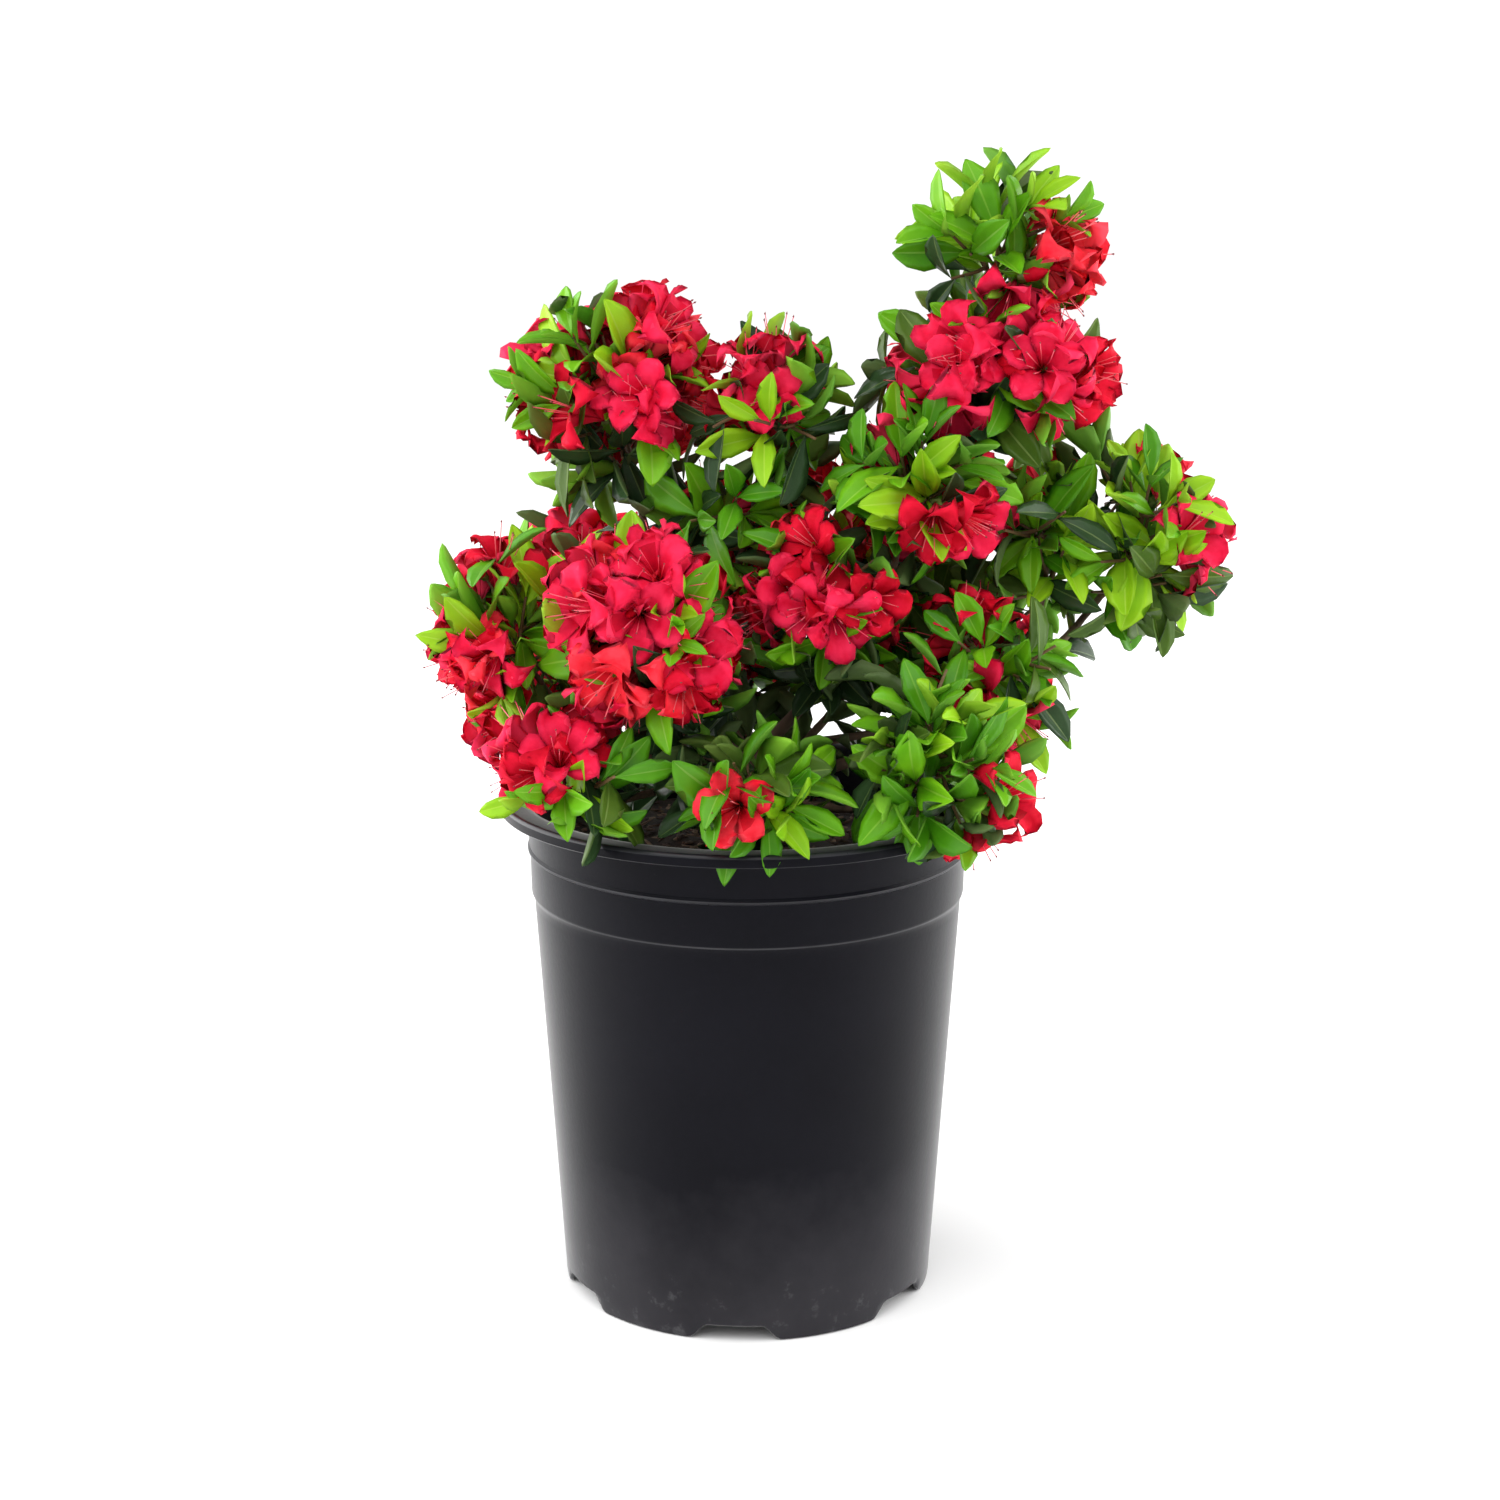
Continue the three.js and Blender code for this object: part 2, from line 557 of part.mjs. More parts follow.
// The pot: a lathed shell whose floor stands on a skirt and a middle pad, with notches in the skirt
function potSolid() {
  const p = POT;
  const inner = (outside) => outside - p.wall;
  const band = p.shoulderRadius - p.bandTaper;
  const profile = [
    [0, 0],
    [p.padRadius, 0],
    [p.padRadius + 2, p.floorHeight],
    [inner(p.footRadius), p.floorHeight],
    [inner(p.footRadius) - 0.6, 0],
    [p.footRadius - 1.2, 0],
    [p.footRadius, p.footRound],
    [band - p.stepDepth, p.stepHeight - 5],
    [band, p.stepHeight],
    [band + 0.6 + p.beadDepth, p.beadHeight],
    [band + 0.8, p.beadHeight + 2.5],
    [p.shoulderRadius, p.height - 9],
    [p.rimRadius - p.lipThick - 1, p.height - p.rimThick],
    [p.rimRadius - p.lipThick, p.height - p.rimLip],
    [p.rimRadius, p.height - p.rimLip],
    [p.rimRadius, p.height - 1],
    [p.rimRadius - 1, p.height],
    [p.shoulderRadius + 2, p.height],
    [inner(p.shoulderRadius), p.height - 8],
    [inner(band - p.stepDepth), p.stepHeight - 5],
    [inner(p.footRadius), p.floorHeight + 5],
    [inner(p.footRadius) - 3, p.floorHeight + p.wall],
    [0, p.floorHeight + p.wall],
  ].map(([r, z]) => new THREE.Vector2(r, z));
  let shell = solidOf(new THREE.LatheGeometry(profile, p.facets).rotateX(Math.PI / 2));
  for (let i = 0; i < NOTCH.count; i++) {
    const turn = THREE.MathUtils.degToRad(NOTCH.firstTurn - 90 + (i * 360) / NOTCH.count);
    const outline = new THREE.Shape();
    outline.moveTo(-NOTCH.width / 2, -1);
    outline.lineTo(NOTCH.width / 2, -1);
    outline.lineTo(NOTCH.width / 2 - 7, NOTCH.height);
    outline.lineTo(-NOTCH.width / 2 + 7, NOTCH.height);
    outline.closePath();
    const cutter = new THREE.ExtrudeGeometry(outline, { depth: 14, bevelEnabled: false })
      .rotateX(Math.PI / 2)
      .translate(0, -p.footRadius + 10, 0)
      .rotateZ(turn + Math.PI / 2);
    shell = shell.subtract(solidOf(cutter));
  }
  return shell;
}

// The potting mix fills the pot, a hair clear of it, and rises a little in the middle
function mixSolid() {
  const inner = (outside) => outside - POT.wall - 1.2;
  const band = POT.shoulderRadius - POT.bandTaper;
  const floor = POT.floorHeight + POT.wall + CLEAR;
  const profile = [
    [0, floor],
    [inner(POT.footRadius) - 3, floor],
    [inner(POT.footRadius) - 0.4, floor + 8],
    [inner(band - POT.stepDepth), POT.stepHeight - 6],
    [inner(band - POT.stepDepth) + 0.4, MIX.top],
    [30, MIX.top + MIX.crown],
    [0, MIX.top + MIX.crown],
  ].map(([r, z]) => new THREE.Vector2(r, z));
  return solidOf(new THREE.LatheGeometry(profile, MIX.facets).rotateX(Math.PI / 2));
}

const shrub = new THREE.Group();

function place(name, solid, colour, roughness = 0.7) {
  const made = new THREE.Mesh(
    geometryOf(solid),
    new THREE.MeshStandardMaterial({ color: colour, roughness, metalness: 0, flatShading: true }),
  );
  made.name = name;
  shrub.add(made);
}

place("pot", pot, COLOURS.plastic, 0.45);
place("potting_mix", mixSolid(), COLOURS.mix, 0.95);
place("trunk", solidOf(trunkGeometry(0)), COLOURS.bark, 0.9);
masses.forEach((mass, i) => {
  place(`bough_${mass.name}`, boughs[i], COLOURS.bark, 0.85);
  const blooming = mass.shoots[0] >= 4;
  place(`foliage_${mass.name}`, massSolid(mass), blooming ? COLOURS.blossom : COLOURS.foliage, 0.6);
});

export default shrub;
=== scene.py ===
# %% [markdown]
# # A potted azalea in flower
# The object is a young evergreen azalea, in full blossom, in the black plastic pot that it was raised in.
# The solids already give every piece its place: the pot, the mix, the trunk, the boughs and the masses of
# foliage. This lesson dresses them. It repeats the rule by which the masses grow, and carries it on to
# finer twigs, more leaves and real petals, so that each mass keeps its place and its outline.

# %% Load the fixed frame
import json
import math

import bpy
import numpy as np
from mathutils import Matrix
from numpy.linalg import norm

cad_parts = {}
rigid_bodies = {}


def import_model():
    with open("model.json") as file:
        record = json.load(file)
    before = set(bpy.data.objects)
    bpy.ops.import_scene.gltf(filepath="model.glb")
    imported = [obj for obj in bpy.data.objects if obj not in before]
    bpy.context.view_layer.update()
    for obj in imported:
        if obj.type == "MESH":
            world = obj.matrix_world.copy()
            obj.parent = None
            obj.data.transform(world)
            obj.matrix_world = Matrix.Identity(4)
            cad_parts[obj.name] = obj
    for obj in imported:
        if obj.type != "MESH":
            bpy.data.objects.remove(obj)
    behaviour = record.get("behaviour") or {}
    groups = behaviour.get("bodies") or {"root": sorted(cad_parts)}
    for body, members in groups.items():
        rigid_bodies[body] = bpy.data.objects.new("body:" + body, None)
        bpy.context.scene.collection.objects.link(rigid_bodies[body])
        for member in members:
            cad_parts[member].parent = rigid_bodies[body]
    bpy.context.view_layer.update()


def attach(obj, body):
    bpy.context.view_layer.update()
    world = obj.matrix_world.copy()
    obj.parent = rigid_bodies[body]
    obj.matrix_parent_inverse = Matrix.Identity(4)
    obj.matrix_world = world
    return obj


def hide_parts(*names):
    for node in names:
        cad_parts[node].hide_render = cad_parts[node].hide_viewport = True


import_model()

MM = 0.001

# %% [markdown]
# ## Sizes
# All lengths are in millimetres, and become metres only where a mesh is made. They are the same named
# sizes that the solids were made from, so a piece made here lies where its solid lies.

# %% Sizes of the pot, the mix and the limbs
CLEAR = 0.3
POT = dict(height=228, rim=111, rim_thick=3, rim_lip=5.5, lip_thick=2.4, shoulder=98.5, step_height=184,
           step_depth=1.4, band_taper=1.4, bead_height=204, bead_depth=1, foot=84, wall=2, floor=7, pad=30)
NOTCH = dict(count=6, width=42, height=6.5, slope=9, first_turn=-4)
MIX = dict(top=203, crown=4)
TRUNK = dict(foot=(1, -1), lean=(3, -3), height=38, foot_radius=11, top_radius=6.5)
BOUGH = dict(main=3.3, side=2.3, tip=1.7)
TWIG_RADIUS = 0.9
LEAF = dict(length=37, width=17)
FLOWER = dict(radius=20, depth=24, spacing=3)
TRIES = 48
LIMB_ROOM = 3  # the most that a leaf or a flower keeps from a limb
SPILL = 1.12  # how far an outer point may lie past the surface of its space
FULL_TURN = 2 * math.pi
GOLDEN_TURN = math.pi * (3 - math.sqrt(5))
CROWN_HEART = np.array((8.0, 0.0, 262.0))
UPWARDS = np.array((0.0, 0.0, 1.0))

SHOOTS = dict(
    truss=dict(room=24, flowers=3, leaves=1, spread=76, spacing=5, lowest=-0.35),
    spray=dict(room=25, flowers=0, leaves=4, spread=44, spacing=2.8, lowest=-0.4),
    older=dict(room=21, flowers=0, leaves=3, spread=62, spacing=5, lowest=-0.9),
)

# %% [markdown]
# ## Where the masses of foliage are
# Each row is one bough with its mass: which limb the bough leaves and where, how far its middle bows, the
# centre and half sizes of the mass, and how many shoots carry flowers, young leaves and older leaves. The
# last number seeds the mass, so that it grows the same way on every run.

# %% The masses
MASSES = [
    ("upper_left", ("trunk", 0.92), (-4, 10, -6), (-56, 2, 404), (54, 46, 54), (15, 3, 4, 138)),
    ("left_front", ("trunk", 0.68), (0, 0, -8), (-42, -70, 310), (58, 44, 54), (15, 4, 2, 187)),
    ("top_crown", ("trunk", 0.98), (16, 20, -10), (110, 10, 467), (47, 42, 45), (4, 7, 2, 118)),
    ("right_tip", ("trunk", 0.6), (14, 0, -12), (174, 0, 340), (42, 42, 50), (4, 5, 4, 158)),
    ("back_left", ("trunk", 0.8), (0, 0, -6), (-72, 52, 298), (54, 48, 52), (7, 4, 1, 126)),
    ("back_mid", ("trunk", 0.88), (0, 4, -6), (-2, 84, 288), (50, 42, 60), (6, 5, 1, 158)),
    ("back_right", ("trunk", 0.74), (0, 0, -6), (62, 62, 304), (50, 48, 54), (6, 4, 2, 102)),
    ("front_right", ("trunk", 0.5), (0, -4, -2), (78, -84, 258), (48, 38, 48), (2, 11, 4, 257)),
    ("foot_centre", ("trunk", 0.42), (0, 0, 4), (2, -92, 250), (48, 34, 34), (5, 5, 2, 176)),
    ("mid_right", ("top_crown", 0.22), (4, -10, 0), (70, -28, 368), (50, 44, 44), (5, 6, 3, 130)),
    ("upper_mid", ("upper_left", 0.5), (6, -6, -6), (10, -14, 400), (38, 38, 46), (6, 3, 4, 160)),
    ("centre_upper", ("upper_left", 0.3), (4, -4, 0), (-12, -8, 352), (40, 36, 32), (5, 1, 2, 151)),
    ("left_far", ("left_front", 0.4), (-6, 6, -8), (-104, -40, 310), (33, 40, 50), (7, 3, 1, 236)),
    ("foot_left", ("left_front", 0.24), (-6, -4, 2), (-74, -84, 255), (40, 36, 36), (2, 6, 2, 141)),
    ("centre", ("mid_right", 0.2), (-6, -6, -2), (30, -42, 326), (46, 42, 46), (9, 3, 2, 167)),
    ("right_under", ("right_tip", 0.35), (-4, -6, 0), (102, -34, 286), (42, 42, 50), (3, 6, 4, 163)),
    ("top_collar", ("top_crown", 0.62), (0, -10, 0), (106, -2, 414), (56, 46, 48), (9, 4, 4, 183)),
    ("inner_top", ("top_crown", 0.4), (-6, 6, 0), (36, 28, 334), (42, 40, 40), (4, 2, 1, 146)),
    ("right_inner", ("right_tip", 0.62), (-2, 6, 0), (133, 4, 342), (42, 44, 48), (1, 10, 3, 141)),
    ("side_left", ("back_left", 0.4), (-4, -4, 0), (-94, 12, 262), (36, 46, 34), (3, 4, 1, 104)),
    ("side_right", ("back_right", 0.45), (6, -2, 0), (102, 42, 276), (38, 42, 42), (3, 4, 2, 172)),
]
LEADERS = dict(
    top_crown=("spray", (-0.3, -0.05, 0.95)),
    right_tip=("truss", (0.96, -0.25, 0.1)),
    left_far=("spray", (-0.9, -0.3, 0.3)),
    upper_left=("spray", (-0.5, -0.2, 0.85)),
    upper_mid=("spray", (0.8, -0.1, 0.6)),
)
FOLIAGE_NODES = [f"foliage_{row[0]}" for row in MASSES]
BOUGH_NODES = [f"bough_{row[0]}" for row in MASSES]
print(len(MASSES), "masses of foliage")

# %% [markdown]
# ## Small helpers for meshes
# A finished piece here is one plain mesh at the origin. The first helper makes such a mesh from points in
# millimetres. The second gives corners their attributes, which the node trees read by name.


# %% Make a mesh and give it attributes
def mesh_piece(name, points, faces, edges=(), parts=None, material=None):
    mesh = bpy.data.meshes.new(name)
    mesh.from_pydata((np.asarray(points, float) * MM).tolist(), list(edges), [tuple(f) for f in faces])
    if parts is not None:
        give(mesh, "part", "INT", parts, "FACE")
    if material:
        mesh.materials.append(material)
    mesh.shade_smooth()
    piece = bpy.data.objects.new(name, mesh)
    bpy.context.scene.collection.objects.link(piece)
    return piece


def give(mesh, name, kind, values, domain="POINT"):
    layer = mesh.attributes.new(name, kind, domain)
    field = "vector" if kind == "FLOAT_VECTOR" else "value"
    layer.data.foreach_set(field, np.asarray(values).ravel())


# %% [markdown]
# ## Helpers for nodes
# What repeats on the plant is made by Geometry Nodes: limbs follow curves, and leaves, flowers and chips
# are one shape set down many times. The first two helpers add a node to any tree and feed its inputs. The
# class writes a geometry tree in the order in which it is read, and the last helper runs such a tree on a
# mesh and keeps the result as a plain mesh.


# %% Add a node and feed it
def feed(tree, node, values):
    """Sets the inputs of a node, or links them where the value is the output of another node."""
    by_identifier = {socket.identifier: socket for socket in node.inputs}
    for key, value in values.items():
        if isinstance(value, bpy.types.NodeSocket):
            tree.links.new(value, by_identifier[key])
        else:
            by_identifier[key].default_value = value


def add_node(tree, kind, values=None, **settings):
    node = tree.nodes.new(kind)
    for key, value in settings.items():
        setattr(node, key, value)
    feed(tree, node, values or {})
    return node


# %% A geometry tree with named inputs
class NodeTree:
    def __init__(self, name, inputs):
        self.tree = bpy.data.node_groups.new(name, "GeometryNodeTree")
        sockets = self.tree.interface
        sockets.new_socket("Geometry", in_out="INPUT", socket_type="NodeSocketGeometry")
        sockets.new_socket("Geometry", in_out="OUTPUT", socket_type="NodeSocketGeometry")
        for label, kind in inputs.items():
            sockets.new_socket(label, in_out="INPUT", socket_type=f"NodeSocket{kind}")
        self.given = self.tree.nodes.new("NodeGroupInput").outputs
        self.result = self.tree.nodes.new("NodeGroupOutput").inputs

    def add(self, kind, values=None, **settings):
        return add_node(self.tree, kind, values, **settings)

    def attribute(self, name, kind):
        found = self.add("GeometryNodeInputNamedAttribute", {"Name": name}, data_type=kind)
        return found.outputs["Attribute"]

    def end(self, geometry):
        self.tree.links.new(geometry, self.result["Geometry"])
        return self.tree


# %% Run a tree on a mesh and keep the result
WORK_LAYERS = {"part", "thick", "turn", "size", "shape", "tone"}


def run_tree(piece, tree, values):
    modifier = piece.modifiers.new(tree.name, "NODES")
    modifier.node_group = tree
    for socket in tree.interface.items_tree:
        if socket.in_out == "INPUT" and socket.name in values:
            modifier[socket.identifier] = values[socket.name]
    piece.update_tag()
    graph = bpy.context.evaluated_depsgraph_get()
    mesh = bpy.data.meshes.new_from_object(piece.evaluated_get(graph), depsgraph=graph)
    piece.modifiers.clear()
    piece.data = mesh
    for spare in [layer.name for layer in mesh.attributes if layer.name in WORK_LAYERS]:
        mesh.attributes.remove(mesh.attributes[spare])
    triangles = sum(len(face.vertices) - 2 for face in mesh.polygons)
    print(f"{piece.name}: {triangles} triangles, {len(mesh.materials)} materials")
    return piece


# %% [markdown]
# ## Finishes
# Every finish is a Principled shader whose colour wanders a little between two tones, by a noise that is
# read in Object coordinates. Roughness and a fine bump come from a second noise. One helper makes them
# all, and each call names the real surface that it stands for.


# %% A finish that wanders between two tones
def finish(name, tones, roughness, grain, bump=0.1, bump_grain=None, stretch=(1, 1, 1), specular=0.5):
    material = bpy.data.materials.new(name)
    material.use_nodes = True
    tree = material.node_tree
    place = add_node(tree, "ShaderNodeTexCoord").outputs["Object"]
    drawn = add_node(tree, "ShaderNodeMapping", {"Vector": place, "Scale": stretch}).outputs["Vector"]
    wander = add_node(tree, "ShaderNodeTexNoise", {"Vector": drawn, "Scale": grain, "Detail": 4})
    tone = add_node(tree, "ShaderNodeValToRGB", {"Fac": wander.outputs["Fac"]})
    for stop, position, colour in zip(tone.color_ramp.elements, (0.32, 0.68), tones):
        stop.position, stop.color = position, (*colour, 1)
    fine = add_node(tree, "ShaderNodeTexNoise",
                    {"Vector": drawn, "Scale": bump_grain or grain * 8, "Detail": 3}).outputs["Fac"]
    gloss = add_node(tree, "ShaderNodeMapRange",
                     {"Value": fine, "To Min": roughness - 0.06, "To Max": roughness + 0.06})
    relief = add_node(tree, "ShaderNodeBump", {"Height": fine, "Strength": bump, "Distance": 0.0006})
    feed(tree, tree.nodes["Principled BSDF"],
         {"Base Color": tone.outputs["Color"], "Roughness": gloss.outputs["Result"],
          "Normal": relief.outputs["Normal"], "Specular IOR Level": specular})
    return material


# %% [markdown]
# ## The pot
# The real pot is blow moulded: a thin wall in one piece, with a rim turned out and down, a thicker top
# band with a raised line, and a skirt whose lower edge is cut by six notches for drainage. It could be a
# Screw modifier on an outline, but the notches need the lower rings lifted, so rings of points are made in
# code, and the lowest ones follow the notches. The mix and the studio's floor are turned the same way.


# %% Turn rings of points into a body
def turned_body(rings, around, outward=True, lid=True):
    """Points and faces of rings round the Z axis. Each has a radius and a height, or a height a point."""
    angles = np.arange(around) * FULL_TURN / around
    points, faces = [], []
    for radius, height in rings:
        points += list(zip(radius * np.cos(angles), radius * np.sin(angles), height + 0 * angles))
    last = len(points) - around
    for low in range(0, last, around):
        for k in range(around):
            nxt = (k + 1) % around
            faces.append((low + k, low + nxt, low + around + nxt, low + around + k))
    faces.append(tuple(range(around - 1, -1, -1)))
    if lid:
        faces.append(tuple(range(last, last + around)))
    return points, faces if outward else [(face[0], *face[:0:-1]) for face in faces]


# %% The wall's radius, and points told from a corner
SEGMENTS = 288


def wall_radius(height):
    """The outside of the wall, from the foot to the thicker band."""
    rise = (height - 5) / (POT["step_height"] - 10)
    band = POT["shoulder"] - POT["band_taper"] - POT["step_depth"]
    return POT["foot"] + (band - POT["foot"]) * rise


def beside(radius, height, *offsets):
    """Points told by how far they lie out from and above one corner of the outline."""
    return [(radius + out, height + up) for out, up in offsets]


# %% The outline of the pot, from the floor out, up the wall, over the rim and down inside
def pot_outline():
    shoulder, rim, wall = POT["shoulder"], POT["rim"], POT["wall"]
    band, under_band = shoulder - POT["band_taper"], shoulder - POT["band_taper"] - POT["step_depth"]
    step, bead, top = POT["step_height"], POT["bead_height"], POT["height"]
    lip, under_rim, lip_edge = rim - POT["lip_thick"], top - POT["rim_thick"], top - POT["rim_lip"]
    floor_top = POT["floor"] + wall
    outer = [(wall_radius(z), z) for z in (7.5, 9, 14, 30, 60, 90, 120, 150, 170, 178)]
    outer += beside(under_band, step, (0.1, -3))
    outer += beside(band, step, (-0.7, -0.9), (-0.1, 0), (0.1, 1))
    outer += beside(band, bead, (0.35, -3), (0.5, -1.2))
    outer += beside(band + POT["bead_depth"], bead, (0.5, -0.4), (0.6, 0.5))
    outer += beside(band, bead, (0.7, 1.8), (0.9, 3))
    outer += beside(shoulder, top, (0, -10), (0.8, -6.5))
    outer += beside(shoulder, under_rim, (3.4, -0.5))
    outer += beside(lip, under_rim, (-1, 0), (0, -0.8))
    outer += beside(lip, lip_edge, (0.1, 0.4), (0.6, 0))
    outer += beside(rim, lip_edge, (-0.5, 0), (0, 0.5))
    outer += beside(rim, top, (0, -1.6), (-0.3, -0.7), (-1.1, -0.1), (-2, 0))
    outer += beside(shoulder, top, (4.5, 0), (2, -0.3), (0, -1.8), (-1.4, -4.5))
    inner = beside(shoulder - wall, top, (0, -9))
    inner += [(band - wall, bead), (band - wall - 0.4, step), (under_band - wall, step - 6)]
    inner += [(wall_radius(z) - wall, z) for z in (120, 60, 13)]
    return outer + inner + [(POT["foot"] - 5, floor_top), (40, floor_top), (0.6, floor_top)]


# %% The notches, and the rings from the middle of the underside to the middle of the floor
def notch_lift(angle):
    """How far the skirt's edge is lifted at an angle, from the notches' width, height and sloped ends."""
    pitch = FULL_TURN / NOTCH["count"]
    first = math.radians(NOTCH["first_turn"] - 90)
    off = (angle - first + pitch / 2) % pitch - pitch / 2
    along = np.abs(off) * POT["foot"]
    slope = np.clip((NOTCH["width"] / 2 - along) / NOTCH["slope"], 0, 1)
    return NOTCH["height"] * slope * slope * (3 - 2 * slope)


def pot_rings():
    lift = notch_lift(np.arange(SEGMENTS) * FULL_TURN / SEGMENTS)
    foot, skirt, pad, floor = POT["foot"], POT["foot"] - POT["wall"], POT["pad"], POT["floor"]
    under = [(0.6, 0), (pad - 1, 0), (pad, 0.6), (pad + 2, floor), (skirt - 1, floor)]
    under += [(skirt, np.maximum(3.5, lift)), (skirt, lift)]
    edge = [(foot - 1.3, lift), (foot - 0.5, lift + 0.4), (foot - 0.1, np.maximum(3, lift + 0.9))]
    return under + edge + pot_outline()


def is_highlit_edge(low, high):
    """Whether the faces between two rings are an edge with a painted highlight: rim, raised line or step."""
    radius, height = (low[0] + high[0]) / 2, (np.mean(low[1]) + np.mean(high[1])) / 2
    on_rim = radius > POT["rim"] - 1.6 and height > POT["height"] - 1.7
    on_bead = radius > POT["shoulder"] - 0.9 and abs(height - POT["bead_height"]) < 0.9
    on_step = radius > POT["shoulder"] - 3 and -1 < height - POT["step_height"] < 0
    return on_rim or on_bead or on_step


# %% [markdown]
# ## The plastic
# Nursery plastic is black with a satin face. It has a soft sheen at a flat angle and is a little scuffed.
# The rim, the raised line and the step are paler and glossier: a painted highlight along these edges.
# The wall also turns a paler grey towards the foot. A painted image could show all this, but masks from
# noise in Object coordinates fit any size. The grey and the scuffs fade with height above the ground,
# and the highlit edges are faces with a finish of their own.

# %% Black plastic that turns a paler grey towards the foot
plastic = finish("black_plastic", ((0.0028, 0.0028, 0.0050), (0.0045, 0.0045, 0.0075)), 0.42, 14,
                 bump=0.05, bump_grain=520, specular=0.07)
feed(plastic.node_tree, plastic.node_tree.nodes["Principled BSDF"],
     {"Sheen Weight": 0.55, "Sheen Roughness": 0.32})
# Paler and glossier plastic for the rim, the raised line and the step: a painted highlight along these edges
highlit_edge_plastic = finish("highlit_edge_plastic", ((0.008, 0.008, 0.011), (0.028, 0.028, 0.033)), 0.30, 25,
                        bump=0.05, bump_grain=520, specular=0.3)


def mix_in_low(material, colour, height, lift, grain, window, most):
    """Mixes a colour in by noise, more of it the nearer the ground: a thin veil, or a few scuffs."""
    tree = material.node_tree
    shader = tree.nodes["Principled BSDF"]
    before = shader.inputs["Base Color"].links[0].from_socket
    place = next(node for node in tree.nodes if node.type == "TEX_COORD").outputs["Object"]
    axes = add_node(tree, "ShaderNodeSeparateXYZ", {"Vector": place})
    low = add_node(tree, "ShaderNodeMapRange",
                   {"Value": axes.outputs["Z"], "From Min": height * MM, "From Max": 0,
                    "To Min": -lift, "To Max": lift})
    specks = add_node(tree, "ShaderNodeTexNoise",
                      {"Vector": place, "Scale": grain, "Detail": 6, "Roughness": 0.66})
    both = add_node(tree, "ShaderNodeMath",
                    {"Value": low.outputs["Result"], "Value_001": specks.outputs["Fac"]}, operation="ADD")
    mask = add_node(tree, "ShaderNodeMapRange",
                    {"Value": both.outputs["Value"], "From Min": window[0], "From Max": window[1],
                     "To Max": most})
    mixed_low = add_node(tree, "ShaderNodeMix",
                     {"Factor_Float": mask.outputs["Result"], "A_Color": before, "B_Color": (*colour, 1)},
                     data_type="RGBA")
    feed(tree, shader, {"Base Color": mixed_low.outputs["Result"]})


# Two grey layers near the ground: a veil that makes the wall paler towards the foot, and a few scuffs
mix_in_low(plastic, (0.040, 0.038, 0.043), height=95, lift=0.42, grain=12, window=(0.25, 1.1), most=0.85)
mix_in_low(plastic, (0.11, 0.11, 0.115), height=50, lift=0.1, grain=95, window=(0.62, 0.78), most=0.5)

# %% Make the pot
rings = pot_rings()
highlit_edges = np.repeat([is_highlit_edge(low, high) for low, high in zip(rings[:-1], rings[1:])], SEGMENTS)
pot_shell = mesh_piece("pot_shell", *turned_body(rings, SEGMENTS), material=plastic)
pot_shell.data.materials.append(highlit_edge_plastic)
pot_shell.data.polygons.foreach_set("material_index", np.append(highlit_edges, (0, 0)).astype(np.int32))
pot_shell.data.set_sharp_from_angle(angle=math.radians(38))
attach(pot_shell, "root")
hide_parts("pot")
# Counts the faces that carry the painted highlight along the rim, the raised line and the step
print("pot_shell:", len(pot_shell.data.polygons), "faces,", int(highlit_edges.sum()), "of them highlit")

# %% [markdown]
# ## The potting mix
# The pot is filled with composted bark: dark crumbs with paler splinters of bark on top. The filling is a
# turned block with an uneven face. The splinters are a few small shapes that a node tree strews over it,
# each turned and sized at random from a fixed seed.

# %% The filling, with an uneven top
damp_mix = finish("damp_mix", ((0.012, 0.008, 0.006), (0.035, 0.021, 0.013)), 0.9, 180, bump=0.9,
                  bump_grain=420)


def mix_height(radius, angle):
    """Heaped in the middle, lumpy, and level beside the wall."""
    heap = np.clip((92 - radius) / 62, 0, 1) * MIX["crown"]
    lumps = 0.9 * np.sin(radius * 0.34 + 3 * np.cos(angle * 3)) + 0.7 * np.cos(angle * 7 + radius * 0.11)
    return MIX["top"] - 0.6 + heap + lumps * np.clip((94 - radius) / 12, 0, 1)


def mix_block(reach, around=120):
    angles = np.arange(around) * FULL_TURN / around
    top = [(radius, mix_height(radius, angles)) for radius in (0.8, *np.linspace(4, reach, 26))]
    side = [(reach - 0.8, POT["step_height"] - 8), (wall_radius(60) - 3.4, 60), (POT["foot"] - 6, 10)]
    return turned_body(top + side + [(0.8, 9.6)], around, outward=False)


mix_bed = mesh_piece("mix_bed", *mix_block(93.2), material=damp_mix)
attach(mix_bed, "root")
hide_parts("potting_mix")
print("mix_bed:", len(mix_bed.data.polygons), "faces")


# %% Splinters and crumbs of bark
def chip_shape(name, length, width, thick, draw):
    """A five-sided splinter, tapered at both ends, with its corners moved at random."""
    points = []
    for share, swell in ((-0.5, 0.35), (-0.15, 1.0), (0.2, 0.9), (0.5, 0.3)):
        for side in range(5):
            turn = side * FULL_TURN / 5
            nudge = 1 + 0.35 * (draw.random() - 0.5)
            points.append((share * length, 0.5 * width * swell * nudge * math.cos(turn),
                           0.5 * thick * swell * nudge * math.sin(turn)))
    faces = [(5 * r + k, 5 * r + (k + 1) % 5, 5 * r + 5 + (k + 1) % 5, 5 * r + 5 + k)
             for r in range(3) for k in range(5)]
    faces += [(4, 3, 2, 1, 0), (15, 16, 17, 18, 19)]
    return mesh_piece(name, points, faces)


def shelf(name, pieces):
    """A collection that is in no scene: a place to take shapes from."""
    collection = bpy.data.collections.new(name)
    for piece in pieces:
        bpy.context.scene.collection.objects.unlink(piece)
        collection.objects.link(piece)
    return collection


